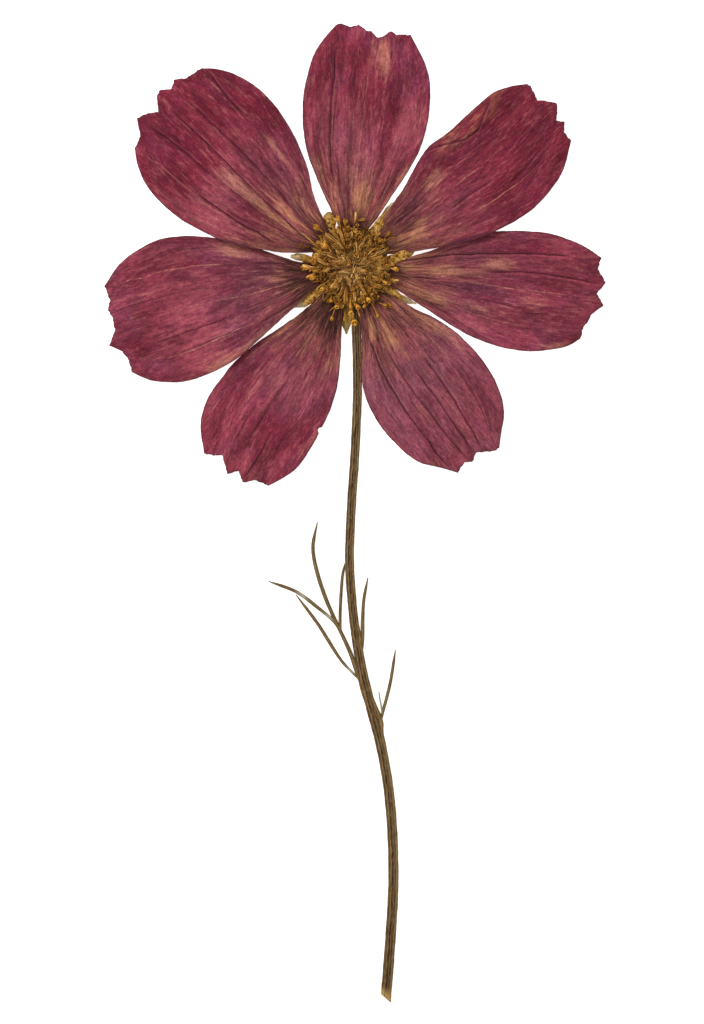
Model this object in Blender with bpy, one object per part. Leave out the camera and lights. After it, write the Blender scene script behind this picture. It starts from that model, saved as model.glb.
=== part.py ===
"""Pressed cosmos flower, lying face up on the surface it was pressed on.

The row frame has its origin under the middle of the flower head, on the surface.
+Z points up out of the open face, and the stem runs away along -Y.
Every size below is in millimetres; the meshes are scaled to metres as they are finished.
"""

import math
import random
from typing import NamedTuple

import bmesh
import bpy
from mathutils import Vector

MM = 0.001

# Clearances and sheet thickness
BLADE = 0.6  # thickness of a petal or bract
GAP = 0.3  # clearance between neighbours that touch on the real flower

# Receptacle and its bracts
RECEPTACLE_RADIUS = 6.3
RECEPTACLE_TOP = 0.9
BRACT_SHOULDER = 6.9  # radius where the long outer bracts leave the cup
INNER_BRACT_RADIUS = 7.6

# Heads of small florets in the middle
CORE_RADIUS = 4.8
CORE_BOTTOM = RECEPTACLE_TOP + GAP
CORE_RIM_TOP = 2.1
CORE_CROWN_TOP = 2.7
FLORET_COUNT = 66
FLORET_SIDES = 4
GOLDEN_ANGLE = math.pi * (3 - math.sqrt(5))

# Petals
CLAW_RADIUS = 5.2  # where a petal's narrow foot starts, just outside the florets' core
CLAW_HALF_WIDTH = 1.7
CLAW_HEIGHT = RECEPTACLE_TOP + GAP
SLOPE_START = 9.6  # radii between which a petal comes down to the surface
SLOPE_END = 14.0
RAISED_SLOPE = 7.5  # length of the slope where an edge has lain on its neighbour
PETAL_ROWS = 12
COLUMN_STEP = 1.7
PLEATS = 4
PLEAT_DEPTH = 0.22

# Stem
STEM_THICKNESS = 1.0
STEM_STATIONS = 44

# Leaf segments
SEGMENT_THICKNESS = 0.6
SEGMENT_STATIONS = 9

COLOURS = {
    "petal": ((0.24, 0.045, 0.085), 0.75),
    "floret": ((0.33, 0.19, 0.045), 0.8),
    "bract": ((0.22, 0.17, 0.06), 0.8),
    "stem": ((0.20, 0.135, 0.06), 0.75),
    "leaf": ((0.17, 0.13, 0.045), 0.8),
}


class Petal(NamedTuple):
    """One ray petal. Its points are (along, across) its own heading, across positive to the left."""

    name: str
    heading: float
    left: tuple
    teeth: tuple
    right: tuple
    left_raised_to: float = 0.0
    right_raised_to: float = 0.0
    folded: bool = False


PETALS = (
    Petal(
        "petal_top", 84.2,
        left=((8.0, 3.5), (16.8, 8.3), (21.7, 9.7), (27.0, 10.1), (32.5, 9.3), (35.0, 8.3)),
        teeth=((38.1, 6.2), (38.6, 5.7), (38.2, 3.6), (38.7, 2.5), (37.9, 1.2), (37.8, 0.3), (37.0, -0.6),
               (37.0, -1.4), (38.2, -2.7), (37.7, -3.7), (37.9, -6.0)),
        right=((8.0, -3.6), (10.0, -4.6), (16.5, -8.0), (20.1, -9.4), (24.0, -10.1), (28.5, -10.1), (32.6, -9.2)),
    ),
    Petal(
        "petal_upper_right", 37.8,
        left=((8.0, 2.6), (12.3, 3.9), (14.5, 4.6), (17.4, 5.9), (21.6, 7.4), (25.2, 7.3), (35.0, 7.9), (38.2, 6.9)),
        teeth=((40.4, 5.6), (40.6, 5.0), (40.1, 2.6), (41.1, 1.7), (42.2, 0.4), (42.0, -0.2), (40.5, -1.8),
               (41.4, -2.8), (40.3, -4.1), (40.4, -5.8)),
        right=((8.0, -3.6), (9.5, -4.4), (13.7, -6.7), (17.5, -8.4), (21.5, -9.8), (28.8, -10.7), (35.8, -9.1)),
        right_raised_to=22.5,
        folded=True,
    ),
    Petal(
        "petal_right", -5.4,
        left=((8.0, 2.0), (11.7, 3.3), (16.5, 5.6), (19.8, 7.0), (22.5, 7.8), (29.6, 8.4), (33.5, 7.9), (37.2, 6.7)),
        teeth=((40.0, 5.2), (39.6, 3.4), (41.1, 1.3), (39.8, -0.6), (41.1, -2.3), (39.1, -4.2), (39.0, -5.0),
               (38.2, -6.0), (37.9, -8.0)),
        right=((8.0, -3.1), (11.7, -5.0), (18.7, -8.6), (23.1, -10.1), (27.7, -10.8), (31.5, -10.6), (35.9, -9.4)),
    ),
    Petal(
        "petal_lower_right", -56.4,
        left=((8.0, 3.2), (12.1, 5.4), (14.7, 7.0), (19.3, 8.7), (25.5, 9.5), (30.6, 8.8), (33.5, 7.4), (35.8, 5.3)),
        teeth=((37.4, 3.9), (37.5, 3.2), (36.6, 1.4), (36.0, 0.5), (36.9, -0.9), (36.3, -2.1), (37.1, -3.8)),
        right=((8.0, -3.3), (10.9, -4.9), (17.0, -8.8), (22.6, -10.0), (28.4, -9.4), (32.3, -8.0), (34.7, -5.8)),
        right_raised_to=18.5,
    ),
    Petal(
        "petal_lower_left", 242.5,
        left=((9.6, 3.6), (16.1, 6.5), (20.5, 7.7), (25.5, 8.0), (31.2, 7.7), (33.9, 6.8)),
        teeth=((37.1, 4.7), (37.3, 2.4), (38.6, 0.8), (37.2, -0.6), (38.5, -2.0), (36.2, -4.1), (36.9, -5.4),
               (37.3, -6.8)),
        right=((9.6, -3.2), (14.6, -5.8), (17.0, -7.2), (20.9, -8.9), (24.4, -9.8), (29.5, -10.4), (33.6, -9.4)),
    ),
    Petal(
        "petal_left", 192.8,
        left=((8.0, 3.2), (10.7, 4.8), (16.1, 7.9), (20.3, 10.2), (24.0, 11.4), (29.5, 12.1), (34.6, 10.9)),
        teeth=((37.7, 8.8), (37.8, 6.7), (38.5, 5.2), (40.3, 3.8), (38.9, 1.7), (38.8, -0.6), (39.3, -1.7),
               (38.6, -3.2), (38.9, -5.6)),
        right=((8.0, -2.6), (12.7, -5.5), (16.0, -7.4), (19.8, -9.2), (25.5, -10.8), (30.0, -10.8), (35.5, -8.7)),
        left_raised_to=22.5,
    ),
    Petal(
        "petal_upper_left", 137.9,
        left=((8.6, 4.9), (11.8, 7.2), (15.4, 9.5), (19.3, 11.1), (26.0, 12.6), (32.2, 12.3), (35.8, 10.8)),
        teeth=((38.2, 9.0), (38.8, 7.0), (41.2, 5.2), (40.4, 3.4), (39.3, 2.2), (41.3, 0.3), (41.4, -0.7),
               (40.2, -2.0), (40.9, -3.4), (39.6, -4.9), (38.9, -7.7)),
        right=((8.0, -2.8), (11.6, -4.4), (15.9, -7.4), (22.3, -10.2), (28.5, -11.4), (33.5, -10.8), (36.9, -9.3)),
        left_raised_to=22.0,
    ),
)

# Long outer bracts: (angle where it leaves the cup, angle of its tip, radius of its tip)
BRACTS = (
    (54, 54.4, 11.8), (14, 14.3, 10.4), (330, 331.1, 12.2), (300, 299, 10.6),
    (258, 267, 10.9), (218, 218.2, 9.8), (172, 172.3, 9.7), (116, 115.6, 9.4),
)
BRACT_HALF_ANGLE = 8.5

# Centre line of the stem, from the head to the cut end
STEM_ROUTE = (
    (1.15, -8.1), (1.3, -14.0), (1.3, -23.0), (0.5, -35.0), (0.0, -46.0), (0.9, -58.0),
    (2.6, -67.0), (4.6, -75.5), (6.6, -87.0), (7.0, -96.5), (6.5, -107.0), (5.9, -117.0),
)
# (share of the stem's length, its width there); the widest place is the lower node
STEM_WIDTHS = ((0.0, 1.4), (0.5, 1.5), (0.56, 1.6), (0.6, 2.0), (0.65, 1.7), (1.0, 1.75))

# Each leaf's segments: (route, width at its root, width halfway)
LEAVES = {
    "leaf_upper_left": (
        (((0.5, -64.9), (-0.1, -62.9), (-1.0, -60.5), (-2.1, -57.1)), 0.8, 0.8, 0.8),
        (((-1.9, -57.6), (-3.8, -53.0), (-5.1, -49.1), (-5.9, -45.0), (-5.3, -41.1)), 0.75, 0.75, 0.25),
        (((-1.9, -57.5), (-5.1, -54.4), (-8.6, -51.8), (-12.8, -50.4)), 0.7, 0.75, 0.25),
        (((-1.9, -57.8), (-1.7, -54.4), (-1.6, -51.5), (-1.2, -48.4)), 0.65, 0.6, 0.25),
        (((0.4, -65.0), (-0.9, -63.8), (-3.2, -60.2), (-5.9, -56.0), (-8.3, -52.8)), 0.7, 0.7, 0.25),
    ),
    "leaf_upper_right": (
        (((2.4, -58.8), (2.15, -55.4), (2.3, -52.5), (2.9, -49.7)), 0.65, 0.65, 0.25),
    ),
    "leaf_lower_right": (
        (((5.6, -71.3), (6.2, -67.8), (6.7, -65.0), (7.2, -61.4)), 0.65, 0.65, 0.25),
        (((5.7, -70.6), (5.1, -69.2), (4.7, -68.0)), 0.6, 0.45, 0.25),
    ),
}


def clear_scene():
    """Removes every object of the startup scene."""
    for obj in list(bpy.data.objects):
        bpy.data.objects.remove(obj, do_unlink=True)


def smoothstep(low, high, value):
    """0 at low, 1 at high, with a smooth ramp between."""
    share = min(1.0, max(0.0, (value - low) / (high - low)))
    return share * share * (3 - 2 * share)


def interpolate(pairs, value):
    """Straight-line reading of a list of (place, size) pairs."""
    for (a, size_a), (b, size_b) in zip(pairs, pairs[1:]):
        if value <= b:
            return size_a + (size_b - size_a) * (value - a) / (b - a)
    return pairs[-1][1]


def curve_point(points, share):
    """The point a share of the way along a smooth curve through 2-D points, and its tangent."""
    points = [Vector(p) for p in points]
    knots = [0.0]
    for a, b in zip(points, points[1:]):
        knots.append(knots[-1] + (b - a).length)
    slopes = []
    for i in range(len(points)):
        low, high = max(i - 1, 0), min(i + 1, len(points) - 1)
        slopes.append((points[high] - points[low]) / (knots[high] - knots[low]))
    place = share * knots[-1]
    i = max(j for j in range(len(points) - 1) if knots[j] <= place)
    span = knots[i + 1] - knots[i]
    t = (place - knots[i]) / span
    h00, h10 = 2 * t**3 - 3 * t**2 + 1, t**3 - 2 * t**2 + t
    h01, h11 = 3 * t**2 - 2 * t**3, t**3 - t**2
    point = points[i] * h00 + slopes[i] * span * h10 + points[i + 1] * h01 + slopes[i + 1] * span * h11
    tangent = slopes[i] * (1 - t) + slopes[i + 1] * t
    return point, tangent.normalized()


def material(kind):
    """The plain colour of one kind of plant tissue."""
    found = bpy.data.materials.get(kind)
    if found:
        return found
    colour, roughness = COLOURS[kind]
    made = bpy.data.materials.new(kind)
    made.use_nodes = True
    shader = made.node_tree.nodes["Principled BSDF"]
    shader.inputs["Base Color"].default_value = (*colour, 1.0)
    shader.inputs["Roughness"].default_value = roughness
    shader.inputs["Metallic"].default_value = 0.0
    return made


def finish(name, bm, kind):
    """Turns a closed bmesh in millimetres into a named object in metres."""
    bmesh.ops.recalc_face_normals(bm, faces=bm.faces[:])
    bmesh.ops.scale(bm, vec=(MM, MM, MM), verts=bm.verts[:])
    mesh = bpy.data.meshes.new(name)
    bm.to_mesh(mesh)
    bm.free()
    mesh.materials.append(material(kind))
    obj = bpy.data.objects.new(name, mesh)
    bpy.context.scene.collection.objects.link(obj)
    return obj


def fuse(name, pieces, kind):
    """Joins overlapping pieces into one solid with a single Boolean union."""
    body, *others = pieces
    if others:
        group = bpy.data.collections.new(name + "_repeats")
        for other in others:
            group.objects.link(other)
        union = body.modifiers.new("union", "BOOLEAN")
        union.operation = "UNION"
        union.operand_type = "COLLECTION"
        union.collection = group
        union.solver = "MANIFOLD"
        bpy.context.view_layer.objects.active = body
        bpy.ops.object.modifier_apply(modifier=union.name)
        for other in others:
            bpy.data.objects.remove(other, do_unlink=True)
        bpy.data.collections.remove(group)
    body.name = name
    body.data.materials.clear()
    body.data.materials.append(material(kind))
    return body


# ---------------------------------------------------------------- petals


def petal_columns(petal):
    """Shares across the petal for its columns of points: one at each tooth point, and some between."""
    tip = petal.teeth
    width = tip[0][1] - tip[-1][1]
    shares = [(tip[0][1] - across) / width for _, across in tip]
    columns = [shares[0]]
    for a, b in zip(shares, shares[1:]):
        parts = max(1, round((b - a) * width / COLUMN_STEP))
        columns += [a + (b - a) * (k + 1) / parts for k in range(parts)]
    return columns


def petal_edges(petal):
    """The petal's two side edges, each from its foot on the receptacle to the outermost tooth."""
    left = ((CLAW_RADIUS, CLAW_HALF_WIDTH), *petal.left, petal.teeth[0])
    right = ((CLAW_RADIUS, -CLAW_HALF_WIDTH), *petal.right, petal.teeth[-1])
    return left, right


def petal_plan(petal, u, v):
    """The (along, across) point at share u across from the left edge and share v out from the foot."""
    left, right = petal_edges(petal)
    width = petal.teeth[0][1] - petal.teeth[-1][1]
    across = petal.teeth[0][1] - u * width
    tip = Vector((interpolate([(-a, s) for s, a in petal.teeth], -across), across))
    corners = Vector(left[0]), Vector(right[0]), Vector(left[-1]), Vector(right[-1])
    foot = corners[0].lerp(corners[1], u)
    sides = curve_point(left, v)[0].lerp(curve_point(right, v)[0], u)
    flat = foot.lerp(corners[2].lerp(corners[3], u), v)
    return sides + foot.lerp(tip, v) - flat


def petal_height(petal, u, v, radius):
    """Height of the petal's underside: up on the receptacle, down on the surface, over what it covers."""
    level = 1 - smoothstep(SLOPE_START, SLOPE_END, radius)
    for raised_to, beside in ((petal.left_raised_to, u), (petal.right_raised_to, 1 - u)):
        if raised_to:
            edge_level = 1 - smoothstep(raised_to, raised_to + RAISED_SLOPE, radius)
            level += (max(edge_level, level) - level) * smoothstep(0.42, 0.18, beside)
    wave = 0.5 - 0.5 * math.cos(2 * math.pi * PLEATS * u)
    flat_share = smoothstep(0.25, 0.55, v) * (1 - level)
    return CLAW_HEIGHT * level + PLEAT_DEPTH * wave * flat_share


def fold_height(petal, u, v):
    """Extra thickness where one petal's left edge is turned over on itself."""
    if not petal.folded:
        return 0.0
    return 0.45 * smoothstep(0.22, 0.14, u) * smoothstep(0.52, 0.62, v) * smoothstep(0.9, 0.8, v)


def make_petal(petal):
    """A toothed, pleated blade: a grid bent to the petal's outline, then thickened upwards."""
    columns = petal_columns(petal)
    rows = [k / (PETAL_ROWS - 1) for k in range(PETAL_ROWS)]
    heading = math.radians(petal.heading)
    out = Vector((math.cos(heading), math.sin(heading)))
    side = Vector((-out.y, out.x))
    bm = bmesh.new()
    bmesh.ops.create_grid(bm, x_segments=len(columns) - 1, y_segments=PETAL_ROWS - 1, size=0.5)
    fold = bm.verts.layers.float.new("fold")
    for vert in bm.verts:
        u = columns[round((vert.co.x + 0.5) * (len(columns) - 1))]
        v = rows[round((vert.co.y + 0.5) * (PETAL_ROWS - 1))]
        plan = petal_plan(petal, u, v)
        flat = out * plan.x + side * plan.y
        vert[fold] = fold_height(petal, u, v)
        vert.co = (flat.x, flat.y, petal_height(petal, u, v, plan.length))
    bmesh.ops.triangulate(bm, faces=bm.faces[:], quad_method="FIXED")
    raised = bmesh.ops.extrude_face_region(bm, geom=bm.faces[:])["geom"]
    for vert in raised:
        if isinstance(vert, bmesh.types.BMVert):
            vert.co.z += BLADE + vert[fold]
    return finish(petal.name, bm, "petal")


# ---------------------------------------------------------------- head


def involucre_outline():
    """Points round the cup: eight long bracts, with a short rounded inner bract between each pair."""
    bracts = sorted((leaves % 360, tip, radius) for leaves, tip, radius in BRACTS)
    points = []
    for k, (angle, tip_angle, tip_radius) in enumerate(bracts):
        following = bracts[(k + 1) % len(bracts)][0] + (360 if k == len(bracts) - 1 else 0)
        halfway = (BRACT_SHOULDER + tip_radius) / 2
        lean = tip_angle - angle
        points.append((angle - BRACT_HALF_ANGLE, BRACT_SHOULDER))
        points.append((angle + 0.5 * lean - 0.62 * BRACT_HALF_ANGLE, halfway))
        points.append((tip_angle - 0.6, tip_radius))
        points.append((tip_angle + 0.6, tip_radius))
        points.append((angle + 0.5 * lean + 0.62 * BRACT_HALF_ANGLE, halfway))
        points.append((angle + BRACT_HALF_ANGLE, BRACT_SHOULDER))
        start, end = angle + BRACT_HALF_ANGLE, following - BRACT_HALF_ANGLE
        for share in (0.25, 0.5, 0.75):
            swell = math.sin(math.pi * share) * (INNER_BRACT_RADIUS - BRACT_SHOULDER)
            points.append((start + (end - start) * share, BRACT_SHOULDER + swell))
    return points


def make_involucre():
    """The flat cup of green bracts under the head, with the receptacle raised in its middle."""
    outline = involucre_outline()
    bm = bmesh.new()

    def ring(height, radius_of):
        made = []
        for angle, radius in outline:
            reach = radius_of(radius)
            turn = math.radians(angle)
            made.append(bm.verts.new((reach * math.cos(turn), reach * math.sin(turn), height)))
        return made

    inner = RECEPTACLE_RADIUS
    rings = [
        ring(0.0, lambda radius: 0.8 * inner),
        ring(0.0, lambda radius: radius),
        ring(BLADE, lambda radius: radius),
        ring(BLADE, lambda radius: inner + 0.25),
        ring(RECEPTACLE_TOP, lambda radius: inner),
    ]
    count = len(outline)
    for low, high in zip(rings, rings[1:]):
        for k in range(count):
            following = (k + 1) % count
            bm.faces.new((low[k], low[following], high[following], high[k]))
    bm.faces.new(rings[0])
    bm.faces.new(rings[-1])
    bmesh.ops.triangulate(bm, faces=bm.faces[:])
    return finish("involucre", bm, "bract")


def turned(name, profile, steps, kind):
    """A solid turned about Z from (radius, height) points whose first and last are on the axis."""
    bm = bmesh.new()
    verts = [bm.verts.new((radius, 0.0, height)) for radius, height in profile]
    edges = [bm.edges.new(pair) for pair in zip(verts, verts[1:])]
    bmesh.ops.spin(
        bm, geom=verts + edges, cent=(0, 0, 0), axis=(0, 0, 1), angle=2 * math.pi, steps=steps, use_merge=True
    )
    bmesh.ops.remove_doubles(bm, verts=bm.verts[:], dist=0.001)
    return finish(name, bm, kind)


def make_floret(name, root, direction, length, girth):
    """One small tubular floret: a narrow tube that swells to a blunt open head."""
    bm = bmesh.new()
    stations = ((-0.7, 0.75), (0.45 * length, 0.8), (0.8 * length, 1.25), (length, 0.85))
    turn = Vector((0, 0, 1)).rotation_difference(direction)
    rings = []
    for distance, swell in stations:
        made = bmesh.ops.create_circle(bm, cap_ends=False, segments=FLORET_SIDES, radius=girth * swell)["verts"]
        for vert in made:
            vert.co = root + turn @ (vert.co + Vector((0, 0, distance)))
        rings.append(made)
    for low, high in zip(rings, rings[1:]):
        for k in range(FLORET_SIDES):
            following = (k + 1) % FLORET_SIDES
            bm.faces.new((low[k], low[following], high[following], high[k]))
    bm.faces.new(rings[0])
    bm.faces.new(rings[-1])
    bmesh.ops.triangulate(bm, faces=bm.faces[:])
    return finish(name, bm, "floret")


def make_disc_florets():
    """The head of small florets in a golden-angle spiral, upright in the middle and splayed at the rim."""
    rng = random.Random(11)
    profile = (
        (0.0, CORE_BOTTOM), (CORE_RADIUS, CORE_BOTTOM), (CORE_RADIUS, CORE_RIM_TOP),
        (0.6 * CORE_RADIUS, 0.4 * CORE_RIM_TOP + 0.6 * CORE_CROWN_TOP), (0.0, CORE_CROWN_TOP),
    )
    pieces = [turned("florets_core", profile, 20, "floret")]
    for k in range(FLORET_COUNT):
        share = math.sqrt((k + 0.5) / FLORET_COUNT)
        angle = k * GOLDEN_ANGLE + rng.uniform(-0.08, 0.08)
        outward = Vector((math.cos(angle), math.sin(angle), 0))
        lean = math.radians(12 + 65 * share**1.3 + rng.uniform(-4, 4))
        root_height = CORE_CROWN_TOP + (CORE_RIM_TOP - CORE_CROWN_TOP) * share**2
        root = outward * (CORE_RADIUS - 0.6) * share + Vector((0, 0, root_height - 0.05 + 0.2 * share))
        direction = outward * math.sin(lean) + Vector((0, 0, math.cos(lean)))
        length = 0.8 + 3.7 * share**2.2 + rng.uniform(-0.4, 0.7) * share
        girth = 0.3 + 0.05 * share
        pieces.append(make_floret(f"floret_{k}", root, direction, length, girth))
    return fuse("disc_florets", pieces, "floret")


# ---------------------------------------------------------------- stem and leaves


def sweep(bm, route, stations, section_at):
    """A solid swept along a smooth plan route lying on the surface, closed at both ends."""
    rings = []
    for k in range(stations):
        share = k / (stations - 1)
        centre, tangent = curve_point(route, share)
        side = Vector((-tangent.y, tangent.x))
        made = []
        for across, height, ahead in section_at(share):
            flat = centre + side * across + tangent * ahead
            made.append(bm.verts.new((flat.x, flat.y, height)))
        rings.append(made)
    count = len(rings[0])
    for low, high in zip(rings, rings[1:]):
        for k in range(count):
            following = (k + 1) % count
            bm.faces.new((low[k], low[following], high[following], high[k]))
    bm.faces.new(rings[0])
    bm.faces.new(rings[-1])
    bmesh.ops.triangulate(bm, faces=bm.faces[:])


def stem_section(share):
    """The pressed stem's outline there: flat below, two ribs above with a groove between them."""
    half = interpolate(STEM_WIDTHS, share) / 2
    thick = STEM_THICKNESS
    slant = 0.9 if share == 1 else 0.0
    shape = (
        (-1.0, 0.4), (-0.75, 0.0), (0.75, 0.0), (1.0, 0.4),
        (0.9, 0.75), (0.5, 1.0), (0.0, 0.72), (-0.5, 1.0), (-0.9, 0.75),
    )
    return [(half * x, thick * z, slant * 0.5 * x) for x, z in shape]


def make_stem():
    """The pressed stem, from just below the receptacle to its slanting cut end."""
    bm = bmesh.new()
    sweep(bm, STEM_ROUTE, STEM_STATIONS, stem_section)
    return finish("stem", bm, "stem")


def make_leaf(name, segments):
    """A leaf of narrow segments, each a tapered blade of lens-shaped section."""
    pieces = []
    for k, (route, root_width, middle_width, tip_width) in enumerate(segments):
        widths = ((0.0, root_width), (0.55, middle_width), (1.0, tip_width))

        def section(share, widths=widths):
            half = interpolate(widths, share) / 2
            shape = ((-1.0, 0.5), (-0.5, 0.0), (0.5, 0.0), (1.0, 0.5), (0.5, 1.0), (-0.5, 1.0))
            return [(half * x, SEGMENT_THICKNESS * z, 0.0) for x, z in shape]

        bm = bmesh.new()
        sweep(bm, route, SEGMENT_STATIONS, section)
        pieces.append(finish(f"{name}_{k}", bm, "leaf"))
    return fuse(name, pieces, "leaf")


def main():
    """Builds the whole flower."""
    clear_scene()
    make_stem()
    for name, segments in LEAVES.items():
        make_leaf(name, segments)
    make_involucre()
    for petal in PETALS:
        make_petal(petal)
    make_disc_florets()


if __name__ == "__main__":
    main()
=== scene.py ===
"""Looks of the pressed cosmos flower: petals, disc florets, bracts, stem and leaves in full detail.

Lengths are in millimetres while a piece is shaped, and become metres when its mesh is finished.
"""

import logging
import math
import random
from collections.abc import Callable
from dataclasses import dataclass, field
from enum import Enum

import bmesh
import bpy
import numpy as np
from mathutils import Matrix, Vector

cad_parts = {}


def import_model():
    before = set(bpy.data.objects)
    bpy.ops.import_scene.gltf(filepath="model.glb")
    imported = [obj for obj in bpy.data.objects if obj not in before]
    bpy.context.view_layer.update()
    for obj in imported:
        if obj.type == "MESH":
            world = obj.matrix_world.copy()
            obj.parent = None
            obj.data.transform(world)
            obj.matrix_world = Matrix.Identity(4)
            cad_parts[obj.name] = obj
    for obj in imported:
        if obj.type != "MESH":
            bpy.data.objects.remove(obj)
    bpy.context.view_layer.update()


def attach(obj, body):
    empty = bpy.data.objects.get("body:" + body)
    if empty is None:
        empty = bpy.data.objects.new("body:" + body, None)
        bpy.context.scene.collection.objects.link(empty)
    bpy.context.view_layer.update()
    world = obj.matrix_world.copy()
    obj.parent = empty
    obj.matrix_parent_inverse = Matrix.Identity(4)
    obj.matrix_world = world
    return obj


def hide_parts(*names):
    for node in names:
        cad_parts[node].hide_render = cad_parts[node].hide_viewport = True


LOG = logging.getLogger("cosmos")
MM = 0.001
SHINE = 0.10
BODY = "root"

Colour = tuple[float, float, float]
Point = tuple[float, float]
Array = np.ndarray
Socket = bpy.types.NodeSocket
Mesh = bpy.types.Mesh


# ---------------- small helpers


def smooth(low: float, high: float, value: Array) -> Array:
    """Ramps smoothly from 0 at low to 1 at high.

    Args:
        low: Where the ramp starts.
        high: Where it ends. It may be smaller than low.
        value: The numbers to read.

    Returns:
        The ramp at each value.
    """
    share = np.clip((value - low) / (high - low), 0.0, 1.0)
    return share * share * (3 - 2 * share)


def curve(points: tuple[Point, ...], shares: Array) -> Array:
    """Reads a smooth curve through points, by Hermite spans with chord-length knots.

    Args:
        points: The points that the curve passes through.
        shares: Places along it, from 0 to 1.

    Returns:
        One 2-D point for each share.
    """
    knots = np.array([0.0] + [math.dist(a, b) for a, b in zip(points, points[1:])]).cumsum()
    ends = np.array(points)
    low = np.maximum(np.arange(len(ends)) - 1, 0)
    high = np.minimum(np.arange(len(ends)) + 1, len(ends) - 1)
    slopes = (ends[high] - ends[low]) / (knots[high] - knots[low])[:, None]
    place = shares * knots[-1]
    span = np.clip(np.searchsorted(knots, place, side="right") - 1, 0, len(ends) - 2)
    length = knots[span + 1] - knots[span]
    t = ((place - knots[span]) / length)[:, None]
    length = length[:, None]
    return (
        ends[span] * (2 * t**3 - 3 * t**2 + 1)
        + slopes[span] * length * (t**3 - 2 * t**2 + t)
        + ends[span + 1] * (3 * t**2 - 2 * t**3)
        + slopes[span + 1] * length * (t**3 - t**2)
    )


def course(points: tuple[Point, ...], shares: Array, step: float) -> tuple[Array, Array]:
    """Works out which way a curve runs.

    Args:
        points: The points that the curve passes through.
        shares: Places along it, from 0 to 1.
        step: How far before and after a place the curve is read, as a share.

    Returns:
        The unit directions ahead and to the left at each place.
    """
    ahead = curve(points, np.clip(shares + step, 0, 1)) - curve(points, np.clip(shares - step, 0, 1))
    ahead /= np.linalg.norm(ahead, axis=1)[:, None]
    return ahead, np.stack([-ahead[:, 1], ahead[:, 0]], axis=1)


def wander(seed: int, waves: int, longest: float, value: Array) -> Array:
    """Sums a few sines of random phase, as a smooth wandering between about -1 and 1.

    Args:
        seed: Chooses the phases.
        waves: How many sines.
        longest: The longest wavelength, in the units of value.
        value: Where to read the sum.

    Returns:
        The sum at each value.
    """
    rng = random.Random(seed)
    total = np.zeros_like(value)
    for k in range(waves):
        total += np.sin(2 * math.pi * value * 1.7**k / longest + rng.uniform(0, 6.28)) / 1.3**k
    return total / waves * 1.6


def inside(points: Array, outline: Array) -> Array:
    """Tells which points lie within a closed outline, by counting the edges to their right.

    Args:
        points: 2-D points.
        outline: The outline's corners in order.

    Returns:
        True for each point inside.
    """
    found = np.zeros(len(points), bool)
    x, y = points[:, 0], points[:, 1]
    for (ax, ay), (bx, by) in zip(outline, np.roll(outline, -1, axis=0)):
        crosses = (ay > y) != (by > y)
        found ^= crosses & (x < (bx - ax) * (y - ay) / (by - ay + 1e-12) + ax)
    return found


# ---------------- finishes


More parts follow.
